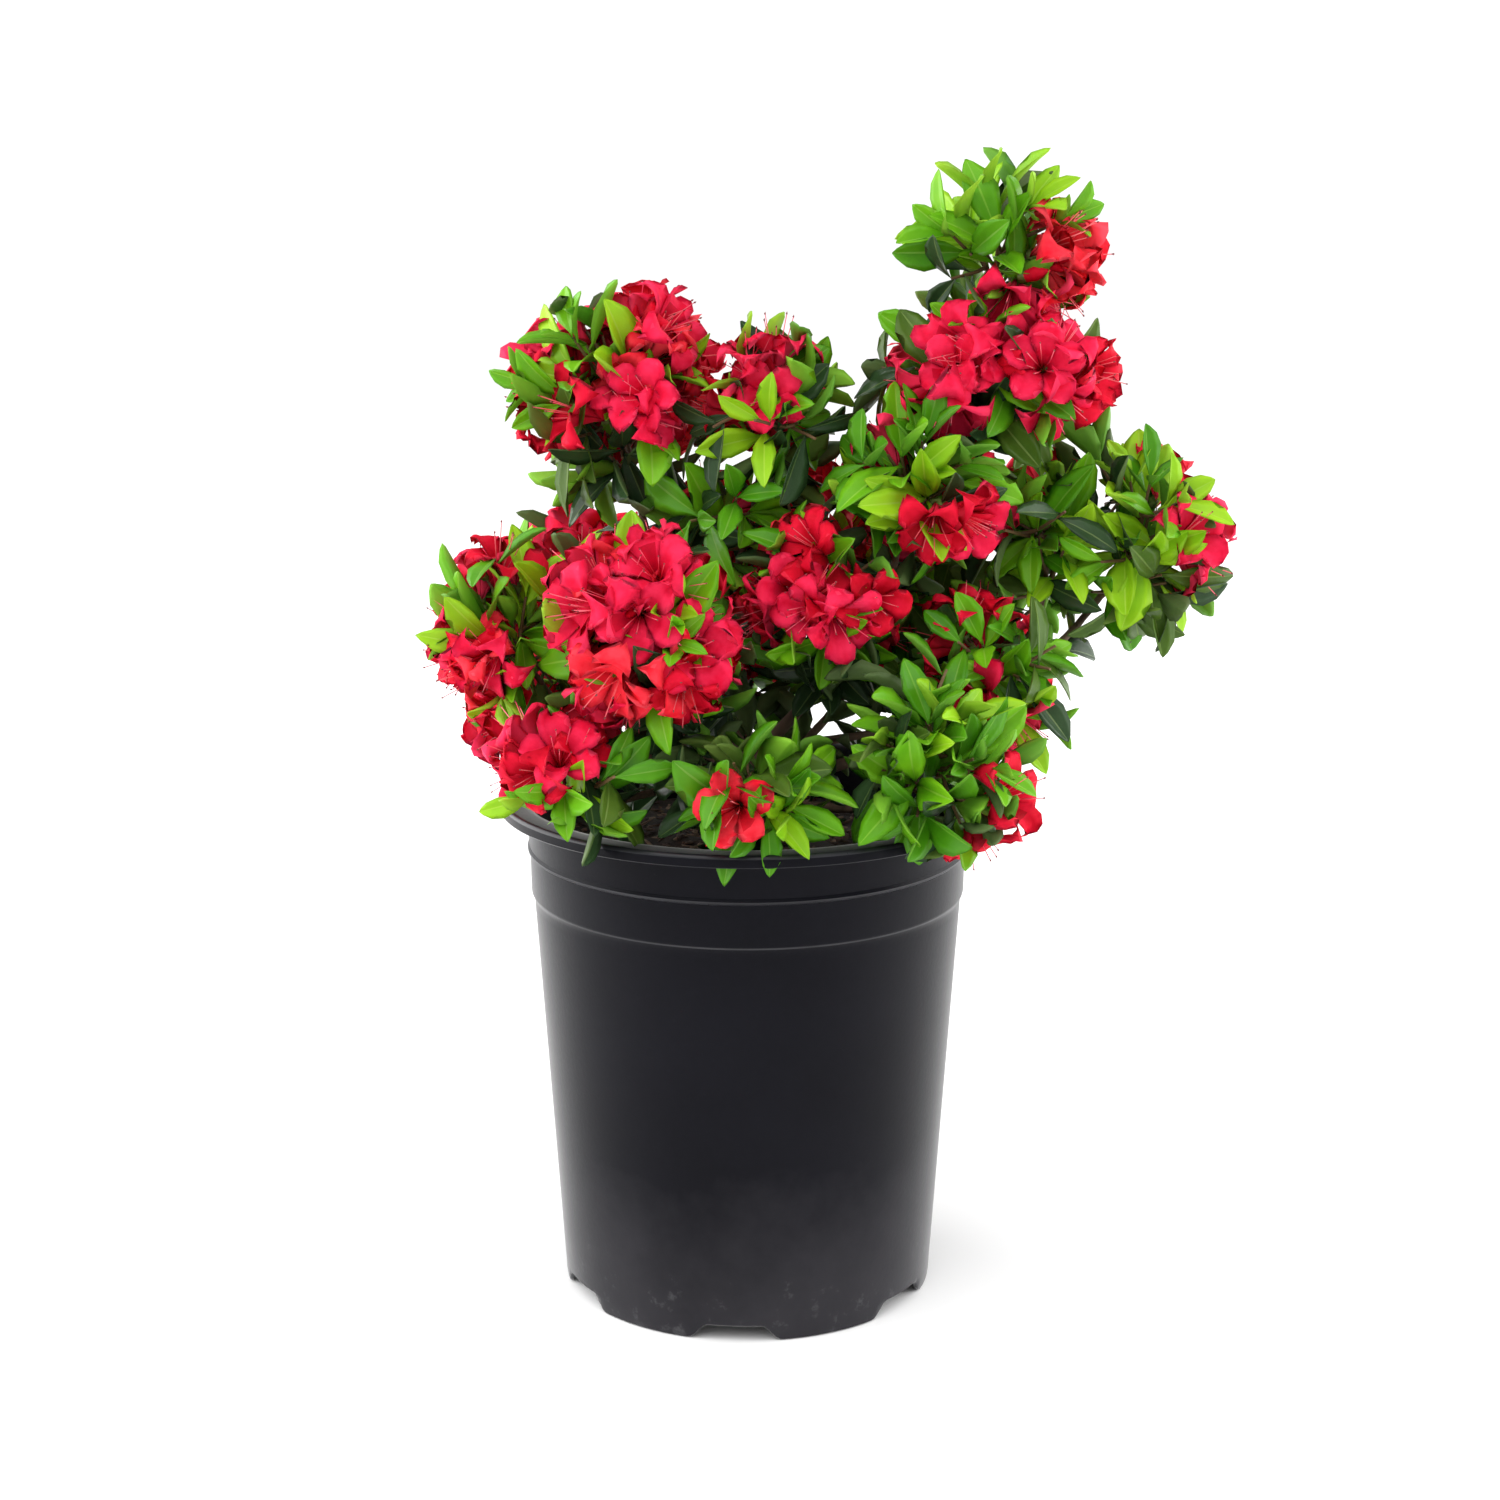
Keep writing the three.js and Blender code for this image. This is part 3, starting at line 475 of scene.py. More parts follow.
# %% Give each part the finish of its own
def paint_parts(tree, flow, layer, labels):
    """Gives each part, told apart by a whole number, the material input of its own."""
    part = tree.attribute(layer, "INT")
    for number, label in enumerate(labels):
        same = tree.add("FunctionNodeCompare", {"A_INT": part, "B_INT": number},
                        data_type="INT", operation="EQUAL")
        painted = tree.add("GeometryNodeSetMaterial",
                           {"Geometry": flow, "Selection": same.outputs["Result"],
                            "Material": tree.given[label]})
        flow = painted.outputs["Geometry"]
    return flow


# %% A tree that strews shapes over what faces up
def strewing_tree(name, tones):
    inputs = {"Shapes": "Collection", "Density": "Float", "Smallest": "Float", "Largest": "Float",
              "Seed": "Int", **{tone: "Material" for tone in tones}}
    tree = NodeTree(name, inputs)
    given = tree.given
    up = tree.add("GeometryNodeInputNormal")
    rise = tree.add("ShaderNodeSeparateXYZ", {"Vector": up.outputs["Normal"]})
    on_top = tree.add("FunctionNodeCompare", {"A": rise.outputs["Z"], "B": 0.6}, operation="GREATER_THAN")
    spots = tree.add("GeometryNodeDistributePointsOnFaces",
                     {"Mesh": given["Geometry"], "Selection": on_top.outputs["Result"],
                      "Density": given["Density"], "Seed": given["Seed"]})
    shapes = tree.add("GeometryNodeCollectionInfo",
                      {"Collection": given["Shapes"], "Separate Children": True, "Reset Children": True})
    turn = tree.add("FunctionNodeRandomValue", {"Min": (-0.5, -0.35, 0), "Max": (0.5, 0.35, 6.28)},
                    data_type="FLOAT_VECTOR")
    grow = tree.add("FunctionNodeRandomValue", {"Min_001": given["Smallest"], "Max_001": given["Largest"]},
                    data_type="FLOAT")
    turned = tree.add("FunctionNodeEulerToRotation", {"Euler": turn.outputs["Value"]})
    laid = tree.add("GeometryNodeInstanceOnPoints",
                    {"Points": spots.outputs["Points"], "Instance": shapes.outputs[0], "Pick Instance": True,
                     "Rotation": turned.outputs["Rotation"], "Scale": grow.outputs[1]})
    tone = tree.add("FunctionNodeRandomValue", {"Min_002": 0, "Max_002": len(tones) - 1}, data_type="INT")
    toned = tree.add("GeometryNodeStoreNamedAttribute",
                     {"Geometry": laid.outputs["Instances"], "Name": "tone", "Value": tone.outputs[2]},
                     data_type="INT", domain="INSTANCE")
    flow = tree.add("GeometryNodeRealizeInstances", {"Geometry": toned.outputs["Geometry"]}).outputs[0]
    return tree.end(paint_parts(tree, flow, "tone", tones))


# %% Strew the bark over the mix
CHIP_SIZES = ((9, 4, 1.6), (6, 3.4, 2.0), (13, 2.6, 1.4), (4, 3, 2.4))
chip_draw = np.random.default_rng(41)
chips = [chip_shape(f"chip_{k}", *size, chip_draw) for k, size in enumerate(CHIP_SIZES)]
chip_shelf = shelf("bark_chips", chips)
chip_tones = {
    "Dark bark": finish("dark_bark_chip", ((0.022, 0.013, 0.009), (0.05, 0.028, 0.017)), 0.85, 240,
                        bump=0.6),
    "Brown bark": finish("brown_bark_chip", ((0.06, 0.032, 0.018), (0.10, 0.056, 0.032)), 0.8, 240,
                         bump=0.6),
    "Pale splinter": finish("pale_splinter", ((0.13, 0.085, 0.05), (0.22, 0.15, 0.095)), 0.8, 240,
                            bump=0.5),
}
strewing = strewing_tree("Strewing", list(chip_tones))
mix_top = mesh_piece("mix_chips", *mix_block(85))
chips_laid = run_tree(mix_top, strewing, {"Shapes": chip_shelf, "Density": 42000.0, "Smallest": 0.45,
                                          "Largest": 1.1, "Seed": 7, **chip_tones})
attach(chips_laid, "root")

# %% [markdown]
# ## The space that each mass keeps to
# A mass of foliage keeps to an egg-shaped space, cut by a flat wall towards each of its neighbours, so that
# no two masses meet. The solids were grown in the same spaces, and repeating the rule here keeps every leaf
# on its own bough. Vectors are small arrays, and each test works on many points at once.


# %% Directions
def unit(vector):
    vector = np.asarray(vector, float)
    return vector / math.sqrt(vector @ vector)


def cross(a, b):
    return np.array((a[1] * b[2] - a[2] * b[1], a[2] * b[0] - a[0] * b[2], a[0] * b[1] - a[1] * b[0]))


def sideways(direction):
    """A direction square to another, the same one each time."""
    helper = UPWARDS if abs(direction[2]) < 0.9 else np.array((1.0, 0.0, 0.0))
    return unit(cross(direction, helper))


def tilted(axis, angle, turn):
    """A direction tilted from an axis by an angle, at a turn round it."""
    side = sideways(axis)
    other = cross(axis, side)
    return axis * math.cos(angle) + math.sin(angle) * (side * math.cos(turn) + other * math.sin(turn))


# %% Random numbers that come out the same on every run
def seeded(seed):
    """Draws numbers from 0 to 1, the same ones as for the solids."""
    state = seed * 2654435761 % 2**32

    def draw():
        nonlocal state
        state = (state * 1664525 + 1013904223) % 2**32
        return state / 2**32

    return draw


# %% The masses, each with its walls
def mass_of(row):
    name, start, bow, middle, reach, shoots = row
    return dict(name=name, start=start, bow=np.array(bow, float), middle=np.array(middle, float),
                reach=np.array(reach, float), shoots_asked=shoots)


def egg_radius(mass, direction):
    return 1 / math.sqrt(((direction / mass["reach"]) ** 2).sum())


def raise_walls(mass, others):
    """A flat wall towards each other mass, placed by how far the two reach towards each other."""
    normals, distances = [], []
    for other in others:
        towards = other["middle"] - mass["middle"]
        distance = math.sqrt(towards @ towards)
        towards = towards / distance
        mine, theirs = egg_radius(mass, towards), egg_radius(other, towards)
        normals.append(towards)
        distances.append(distance * mine / (mine + theirs) - CLEAR)
    mass["normals"], mass["distances"] = np.array(normals), np.array(distances)


masses = [mass_of(row) for row in MASSES]
for mass in masses:
    raise_walls(mass, [other for other in masses if other is not mass])
print("walls between the masses:", sum(len(mass["distances"]) for mass in masses) // 2)

# %% What lies in a mass's space, in the crown or in the pot
MIDDLES = np.array([mass["middle"] for mass in masses])
REACHES = np.array([mass["reach"] for mass in masses])


def room_towards(mass, direction):
    """How far the space reaches from its middle in a direction, to its surface or a wall."""
    facing = mass["normals"] @ direction
    ahead = facing > 0.05
    return min([egg_radius(mass, direction), *(mass["distances"][ahead] / facing[ahead])])


def in_space(mass, ends):
    offset = ends - mass["middle"]
    if (((offset / mass["reach"]) ** 2).sum(1) > SPILL**2).any():
        return False
    return bool((offset @ mass["normals"].T < mass["distances"]).all())


def in_crown(ends, spill=SPILL):
    """Whether each point lies in the space of one mass or another, whatever their walls."""
    out = ((ends[:, None] - MIDDLES) / REACHES) ** 2
    return bool((out.sum(2).min(1) < spill**2).all())


def in_pot(ends):
    out = np.hypot(ends[:, 0], ends[:, 1])
    near = (ends[:, 2] <= POT["height"] + 1) & (out <= POT["rim"] + 1.5)
    taken = (out > POT["shoulder"] - 6) | (ends[:, 2] < MIX["top"] + MIX["crown"] + 2)
    return bool((near & taken).any())


# %% [markdown]
# ## Trunk and boughs
# The plant stands on one short woody stem that flares where it leaves the mix. Boughs leave it, or leave
# another bough, bow outwards and end where they enter their mass. Each is one smooth curve that a point in
# the middle draws aside, and it can be asked for any place along it.


# %% A curve that a point in the middle draws aside
class Curve:
    def __init__(self, start, middle, end):
        self.start, self.middle, self.end_point = (np.array(p, float) for p in (start, middle, end))

    def at(self, share):
        share = np.asarray(share, float)[..., None]
        return ((1 - share) ** 2 * self.start + 2 * share * (1 - share) * self.middle
                + share**2 * self.end_point)

    def end_direction(self):
        return unit(self.at(1.0) - self.at(0.9999))

    def length(self):
        points = self.at(np.linspace(0, 1, 201))
        return norm(np.diff(points, axis=0), axis=1).sum()


# %% One curve for the trunk and one for each bough
TRUNK_BASE = MIX["top"] + MIX["crown"] + CLEAR
trunk = Curve((*TRUNK["foot"], TRUNK_BASE), (*TRUNK["foot"], TRUNK_BASE + TRUNK["height"] / 2),
              (*TRUNK["lean"], TRUNK_BASE + TRUNK["height"]))
limbs = {"trunk": dict(curve=trunk, start=TRUNK["foot_radius"], end=TRUNK["top_radius"])}


def grow_bough(mass):
    parent, share = mass["start"]
    start = limbs[parent]["curve"].at(share)
    out = mass["middle"] - start
    rising = unit((out[0] * 0.55, out[1] * 0.55, abs(out[2]) + 12))
    into = room_towards(mass, -rising)
    end = mass["middle"] - rising * min(0.86 * into, into - 3)
    middle = start + (end - start) * np.array((0.62, 0.62, 0.4)) + mass["bow"]
    thick = BOUGH["main"] if parent == "trunk" else BOUGH["side"]
    limbs[mass["name"]] = dict(curve=Curve(start, middle, end), start=thick, end=BOUGH["tip"])


for mass in masses:
    grow_bough(mass)
print(len(limbs), "limbs, the longest", round(max(limb["curve"].length() for limb in limbs.values())), "mm")


# %% How near a point may come to a limb
def limb_pieces():
    starts, runs, radii = [], [], []
    for limb in limbs.values():
        points = limb["curve"].at(np.linspace(0, 1, 15))
        sizes = np.linspace(limb["start"], limb["end"], 15)
        starts.append(points[:-1])
        runs.append(np.diff(points, axis=0))
        radii.append(np.maximum(sizes[:-1], sizes[1:]))
    return np.concatenate(starts), np.concatenate(runs), np.concatenate(radii)


LIMB_STARTS, LIMB_RUNS, LIMB_RADII = limb_pieces()
for mass in masses:
    reach = mass["reach"].max() * SPILL + 30
    near = norm(LIMB_STARTS - mass["middle"], axis=1) < reach
    mass["limbs"] = LIMB_STARTS[near], LIMB_RUNS[near], LIMB_RADII[near]

# Stands for all the masses at once, for shoots that may cross the walls between two of them
whole_crown = dict(limbs=(LIMB_STARTS, LIMB_RUNS, LIMB_RADII))


def clear_of_limbs(mass, beads, sizes):
    starts, runs, radii = mass["limbs"]
    offset = beads[:, None] - starts
    share = np.clip((offset * runs).sum(2) / (runs * runs).sum(1), 0, 1)
    gap = norm(offset - share[..., None] * runs, axis=2)
    return bool((gap > radii + np.minimum(sizes, LIMB_ROOM)[:, None] + CLEAR).all())


# %% [markdown]
# ## The rule for shoots
# A shoot is a twig with what grows at its end. A truss carries flowers, a spray carries young leaves, and an
# older shoot carries last year's leaves. Before anything is kept, its outer points must lie in the mass's
# space and clear of the pot, and beads along it must clear the limbs and all that is there already.


# %% Leaves as the rule sees them: points that must lie in the space, and beads that keep others off
def between(a, b, count):
    return a + np.linspace(0, 1, count + 1)[:, None] * (b - a)


def leaf_at(root, axis, angle, spread, size, draw):
    lean = math.radians(spread + 24 * (draw() - 0.5))
    turn = angle + 0.5 * (draw() - 0.5)
    along, up = tilted(axis, lean, turn), tilted(axis, lean - math.pi / 2, turn)
    length = LEAF["length"] * size * (0.82 + 0.36 * draw())
    width = LEAF["width"] * length / LEAF["length"] * (0.88 + 0.24 * draw())
    tip = root + along * length
    half = unit(cross(up, along)) * width / 2
    middle = (root + tip) / 2
    beads = between(root + 0.22 * (tip - root), tip, 4)
    ends = np.array((tip, middle + half, middle - half))
    return dict(kind="leaf", at=root, along=along, up=up, length=length, width=width, ends=ends,
                beads=beads, sizes=np.full(5, width * 0.24))


# %% Flowers and twigs
RING = np.arange(10)[:, None] * math.pi / 5


def flower_at(root, along, size, draw):
    radius = FLOWER["radius"] * size * (0.9 + 0.2 * draw())
    roll = draw() * FULL_TURN
    rise = FLOWER["depth"] * radius / FLOWER["radius"]
    side = sideways(along)
    ends = root + along * rise + radius * (side * np.cos(RING) + cross(along, side) * np.sin(RING))
    beads = np.vstack((root + 0.88 * (ends - root), root + along * 0.62 * rise))
    sizes = np.array([2.6 * size] * 10 + [9 * size])
    return dict(kind="flower", at=root, along=along, roll=roll, radius=radius, ends=ends, beads=beads,
                sizes=sizes)


def twig_at(start, end):
    beads = between(start + 0.25 * (end - start), end, 5)
    return dict(kind="twig", start=start, end=end, ends=end[None], beads=beads,
                sizes=np.full(6, TWIG_RADIUS + 0.4))


# %% What fits
def fits(mass, organ, crowd, snug=1.0):
    """Whether an organ lies in its space, out of the pot, and clear of the limbs and of the crowd."""
    kept_in = in_crown(organ["ends"]) if mass is whole_crown else in_space(mass, organ["ends"])
    if not kept_in or in_pot(organ["ends"]):
        return False
    if not clear_of_limbs(mass, organ["beads"], organ["sizes"]):
        return False
    for beads, sizes in crowd:
        apart = ((organ["beads"][:, None] - beads) ** 2).sum(2)
        if (apart <= (snug * (organ["sizes"][:, None] + sizes)) ** 2).any():
            return False
    return True


# %% What grows at the end of a twig
def ends_of(twig, axis, shoot, size, mass, crowd, draw, snug=1.0):
    """The flowers and leaves at a twig's end, as far as they fit."""
    joint, tip = twig["start"], twig["end"]
    twig_length = math.sqrt((tip - joint) @ (tip - joint))
    turn = draw() * FULL_TURN
    made = []

    def back_from_tip(distance):
        return tip + (joint - tip) * min(distance / twig_length, 0.6)

    def keep(organ):
        if fits(mass, organ, crowd + [(one["beads"], one["sizes"]) for one in made], snug):
            made.append(organ)

    for i in range(shoot["flowers"]):
        lean = math.radians(43 + 10 * draw())
        along = tilted(axis, lean, turn + i * FULL_TURN / shoot["flowers"] + 0.3 * (draw() - 0.5))
        keep(flower_at(back_from_tip(i * FLOWER["spacing"]), along, size, draw))
    if shoot["flowers"] and not made:
        return []
    for i in range(shoot["leaves"]):
        root = back_from_tip(shoot["flowers"] * FLOWER["spacing"] + i * shoot["spacing"])
        keep(leaf_at(root, axis, turn + 1 + i * GOLDEN_TURN, shoot["spread"], size, draw))
    return made


# %% One shoot, or nothing if too little of it fits
def shoot_at(mass, kind, stem, direction, crowd, draw):
    shoot = SHOOTS[kind]
    room = room_towards(mass, direction)
    size = min(max(room / (shoot["room"] + 8), 0.7), 1) * (0.92 + 0.16 * draw())
    length = max(4, room - shoot["room"] * size) * (0.7 + 0.3 * draw())
    tip = mass["middle"] + direction * length
    height = (tip - stem["start"]) @ stem["direction"] - 0.8 * length
    joint = stem["curve"].at(min(max(height / stem["length"], 0.25), 0.95))
    twig = twig_at(joint, tip)
    if not fits(mass, twig, crowd):
        return None
    axis = unit(unit(tip - joint) * 0.5 + direction * 0.5)
    made = ends_of(twig, axis, shoot, size, mass, crowd, draw)
    return dict(tip=tip, organs=[twig, *made]) if made else None


# %% The stem of a mass, and which way the mass grows
def stem_of(mass):
    curve = limbs[mass["name"]]["curve"]
    direction = curve.end_direction()
    root = curve.at(1.0) + direction * CLEAR
    stem = Curve(root, root + direction * 9, mass["middle"])
    return dict(curve=stem, start=root, direction=stem.end_direction(), length=stem.length())


def growth_axis(mass):
    outward = mass["middle"] - CROWN_HEART
    outward[2] = 0
    return unit(unit(outward) * 0.7 + UPWARDS)


def together(organs):
    return [(np.concatenate([o["beads"] for o in organs]), np.concatenate([o["sizes"] for o in organs]))]


def organs_of(shoots):
    return [organ for shoot in shoots for organ in shoot["organs"]]


def twigs_of(shoots):
    return [shoot["organs"][0] for shoot in shoots]


# %% Grow each mass as its solid grew
# What a shoot is chosen for: room to the next tip, up to a limit, what it bears, and how far out it is
SCORE = dict(room=40, organ=7, reach=0.3)


def grow(mass):
    stem, axis = stem_of(mass), growth_axis(mass)
    trusses, sprays, older, seed = mass["shoots_asked"]
    kinds = ["truss"] * trusses + ["spray"] * sprays + ["older"] * older
    leader = LEADERS.get(mass["name"])
    if leader:
        kinds.insert(0, leader[0])
    shoots, crowd = [], []
    for k, kind in enumerate(kinds):
        lowest = SHOOTS[kind]["lowest"]
        tips = np.array([shoot["tip"] for shoot in shoots])
        best, best_score = None, -1.0
        for attempt in range(TRIES):
            draw = seeded(seed * 1009 + k * 31 + attempt)
            height = lowest + (1 - lowest) * draw()
            direction = tilted(axis, math.acos(height), draw() * FULL_TURN)
            if leader and k == 0:
                direction = unit(leader[1])
            shoot = shoot_at(mass, kind, stem, direction, crowd, draw)
            if not shoot:
                continue
            spare = min([SCORE["room"], *norm(tips - shoot["tip"], axis=1)]) if shoots else SCORE["room"]
            score = (spare + SCORE["organ"] * len(shoot["organs"])
                     + SCORE["reach"] * norm(shoot["tip"] - mass["middle"]))
            if score > best_score:
                best, best_score = {**shoot, "kind": kind}, score
        if best:
            shoots.append(best)
            crowd = together(organs_of(shoots))
    return dict(stem=stem, shoots=shoots)


# %% Grow every mass and count what grew
def count_organs():
    kinds = [organ["kind"] for mass in masses for organ in organs_of(mass["shoots"])]
    return {kind: kinds.count(kind) for kind in ("twig", "flower", "leaf")}


for mass in masses:
    mass.update(grow(mass))
print("masses as in the solids:", count_organs())

# %% [markdown]
# ## Finer twigs
# A solid has few and large leaves. The real shrub has more of both between them, so the rule goes on here,
# in the same spaces. Petals and leaves are thin, so they may come closer to each other than in the solids.
# The photograph shows on which side of a mass the blossom sits, and which shoots stand out of it. A truss
# on a leafy side is turned into leaves, and the shoots that stand out are asked for by their direction.

# %% How the masses are carried on
FINER = dict(
    truss=dict(room=21, flowers=4, leaves=1, spread=70, spacing=3.2, lowest=-0.7),
    spray=dict(room=20, flowers=0, leaves=6, spread=50, spacing=2.4, lowest=-0.8),
    older=dict(room=18, flowers=0, leaves=5, spread=64, spacing=3.4, lowest=-1),
    tuft=dict(room=15, flowers=0, leaves=4, spread=36, spacing=2.2, lowest=0),
)
# The further shoots that each mass gets: with flowers, with young leaves and with older leaves
FINER_SHOOTS = dict(
    upper_left=(16, 1, 0), left_front=(18, 1, 1), top_crown=(0, 1, 1), right_tip=(0, 5, 4),
    back_left=(8, 4, 4), back_mid=(7, 5, 4), back_right=(7, 4, 4), front_right=(1, 5, 5),
    foot_centre=(4, 3, 5), mid_right=(1, 4, 4), upper_mid=(5, 2, 2), centre_upper=(7, 1, 3),
    left_far=(9, 2, 2), foot_left=(5, 3, 3), centre=(12, 1, 3), right_under=(3, 4, 5),
    top_collar=(3, 3, 3), inner_top=(5, 2, 3), right_inner=(0, 9, 5), side_left=(5, 4, 4),
    side_right=(4, 4, 4),
)
BLOSSOM_SIDES = dict(
    top_crown=(1, -0.1, -0.5), right_tip=(1, 0, -0.1), front_right=(1, 0.3, 0.3), foot_left=(-0.6, 0.2, 0.8),
    right_under=(0.6, 0, 0.5), foot_centre=(-0.7, 0, -0.3),
)

# %% Shoots that the photograph shows, each with its direction from the middle of its mass
SEEN_SHOOTS = dict(
    upper_left=[("tuft", (-0.95, -0.25, 0.2)), ("tuft", (-0.55, -0.35, 0.8)), ("older", (-0.6, -0.45, -0.7)),
                ("older", (0.1, -0.55, -0.85)), ("tuft", (0.8, -0.5, 0.25))],
    upper_mid=[("older", (0.8, -0.5, -0.35)), ("older", (0.5, -0.3, -0.85)), ("older", (-0.2, -0.5, -0.9))],
    centre_upper=[("older", (-0.8, -0.5, 0.2)), ("tuft", (0.8, -0.5, 0.3))],
    left_front=[("tuft", (0.15, -0.8, 0.55)), ("tuft", (0.5, -0.9, 0.1)), ("truss", (-0.1, -0.6, -0.75)),
                ("truss", (0.5, -0.6, -0.6)), ("truss", (-0.6, -0.5, -0.6)), ("truss", (0.1, -0.3, -0.95)),
                ("older", (0.2, -0.6, -0.85)), ("truss", (0.05, -0.8, -0.55))],
    left_far=[("tuft", (0.4, -0.8, -0.1)), ("tuft", (0.1, -0.6, -0.8))],
    foot_left=[("tuft", (0, -0.7, -0.1)), ("spray", (0, -0.6, -0.8)), ("older", (0.5, -0.6, -0.75)),
               ("tuft", (-0.6, -0.6, -0.3)), ("truss", (-0.6, -0.5, 0.4)), ("truss", (0.6, -0.5, 0.6)),
               ("older", (0.85, -0.4, 0)), ("truss", (0.3, 0.1, 0.9))],
    foot_centre=[("truss", (-0.5, -0.7, -0.4)), ("spray", (0.3, -0.7, -0.3)), ("tuft", (0.6, -0.7, 0.3)),
                 ("older", (-0.4, -0.5, 0.7)), ("truss", (0.85, -0.5, -0.2)), ("older", (0.5, -0.4, -0.8)),
                 ("truss", (0.1, -0.5, 0.85)), ("truss", (-0.85, -0.3, 0.4)), ("older", (-0.9, -0.3, -0.1)),
                 ("spray", (0.85, -0.3, 0.5)), ("older", (0, 0.3, 0.9)), ("older", (-0.3, 0.3, 0.3)),
                 ("truss", (-0.75, -0.65, 0.05))],
    centre=[("spray", (0.4, -0.6, -0.75)), ("older", (0.8, -0.5, -0.5)), ("truss", (-0.6, -0.5, -0.7)),
            ("truss", (0.1, -0.5, -0.85)), ("older", (-0.2, -0.2, -0.95)), ("older", (0.5, 0, -0.85))],
    back_left=[("older", (0.2, -0.3, -0.9)), ("older", (-0.3, 0.2, -0.9)), ("older", (0.7, 0.1, -0.7))],
    back_mid=[("older", (-0.5, -0.2, -0.85)), ("older", (0.4, -0.3, -0.85)), ("older", (0, 0.3, -0.95))],
    back_right=[("older", (-0.3, -0.3, -0.9)), ("older", (0.4, -0.2, -0.9))],
    side_left=[("older", (0.7, -0.4, -0.5)), ("older", (0.3, 0.4, -0.8))],
    front_right=[("spray", (-0.2, -0.5, 0.85)), ("spray", (-0.3, -0.6, -0.75)), ("older", (0.4, -0.6, -0.7)),
                 ("tuft", (0.85, -0.4, 0)), ("spray", (0.5, -0.6, 0.4)), ("older", (-0.85, -0.4, 0.1)),
                 ("older", (-0.8, -0.2, 0.5)), ("tuft", (-0.6, -0.6, 0.5))],
    right_under=[("tuft", (-0.2, -0.6, 0.75)), ("older", (0.6, -0.5, 0.5)), ("truss", (0.1, -0.8, -0.4))],
    right_tip=[("tuft", (-0.35, -0.3, 0.9)), ("tuft", (0.1, -0.3, 0.95)), ("older", (0.4, -0.5, -0.75)),
               ("older", (-0.3, -0.4, -0.9)), ("spray", (-0.7, -0.6, -0.1))],
    mid_right=[("spray", (-0.6, -0.6, 0.5)), ("tuft", (0.1, -0.5, 0.85)), ("tuft", (0.75, -0.4, 0.5)),
               ("older", (-0.6, -0.7, -0.3)), ("truss", (-0.45, -0.5, 0.75)), ("truss", (0.5, -0.8, -0.1))],
    top_collar=[("older", (-0.95, -0.3, 0.2)), ("older", (-0.4, -0.7, -0.6)), ("older", (0.2, -0.7, -0.7)),
                ("older", (0.7, -0.4, -0.65)), ("truss", (0.7, -0.65, 0.25)), ("truss", (0.1, -0.9, 0.35)),
                ("tuft", (-0.3, -0.6, 0.9)), ("truss", (0.3, -0.6, 0.85)), ("truss", (-0.6, -0.6, 0))],
    top_crown=[("tuft", (-0.85, -0.35, 0.15)), ("tuft", (0.25, -0.5, 0.6)), ("older", (-0.7, -0.5, -0.5)),
               ("truss", (0.75, -0.55, -0.15)), ("truss", (0.3, -0.8, -0.6)), ("tuft", (-0.1, -0.6, -0.6)),
               ("tuft", (0.85, -0.3, 0.4))],
)

# %% How fine shoots are tried, kept apart and filled in
FINER_TRIES = 14
FINER_ROOM = 30  # the most room to the next tip that counts when the best try is chosen
# For a seen shoot: the tries, how far inside the surface it is looked for, how far around it the crowd is
# heeded, how far it is nudged, the least share of the way out, and how near a truss turns into leaves
SEEN = dict(tries=8, inside=20, around=80, nudge=0.3, least=0.8, leafy=14)
FINER_SIZE = dict(truss=1, spray=0.86, older=0.86, tuft=0.72)
# Leaves behind those at a twig's end: how many, and how far from the end the first one sits
BACK_LEAVES = dict(truss=(2, 15), spray=(4, 12), older=(4, 12), tuft=(1, 12))
BACK_LEAF = dict(apart=4.5, last=0.9, smallest=0.62, growth=0.22, spread=62)
# How near the parts of fine shoots may come to others, as a share of the distance kept in the solids
SNUG = dict(twig=0.45, back_leaf=0.45, new_leaf=0.5, truss=0.42, spray=0.52, older=0.52, tuft=0.52)
# Shoots for what is then still empty: how many, how far such a place lies from all else, in what part of
# a mass, and where older leaves grow: deep inside and low down, where their darker tints are partly painted
# shade
FILLING = dict(shoots=170, clear=8.5, places=260, inner=0.4, outer=0.92, size=0.78, around=75,
               deep=0.6, low=248, left_open=("top_crown",))


# %% More leaves along the twigs, and leaves in place of a truss
def back_leaves(mass, shoot, crowd, draw):
    twig, made = shoot["organs"][0], []
    count, first = BACK_LEAVES[shoot["kind"]]
    run = twig["start"] - twig["end"]
    length = math.sqrt(run @ run)
    turn = draw() * FULL_TURN
    for i in range(count):
        share = (first + BACK_LEAF["apart"] * i) / length
        if share > BACK_LEAF["last"]:
            break
        size = BACK_LEAF["smallest"] + BACK_LEAF["growth"] * draw()
        leaf = leaf_at(twig["end"] + run * share, -run / length, turn + i * GOLDEN_TURN,
                       BACK_LEAF["spread"], size, draw)
        taken = crowd + [(one["beads"], one["sizes"]) for one in made]
        if fits(mass, leaf, taken, SNUG["back_leaf"]):
            made.append(leaf)
    return made


def make_leafy(mass, shoots, shoot, kind, draw):
    others = organs_of([one for one in shoots if one is not shoot])
    twig = shoot["organs"][0]
    axis = unit(unit(twig["end"] - twig["start"]) + unit(shoot["tip"] - mass["middle"]))
    leaves = ends_of(twig, axis, FINER[kind], 0.95, mass, together(others), draw, SNUG["new_leaf"])
    shoot.update(kind=kind, organs=[twig, *leaves])


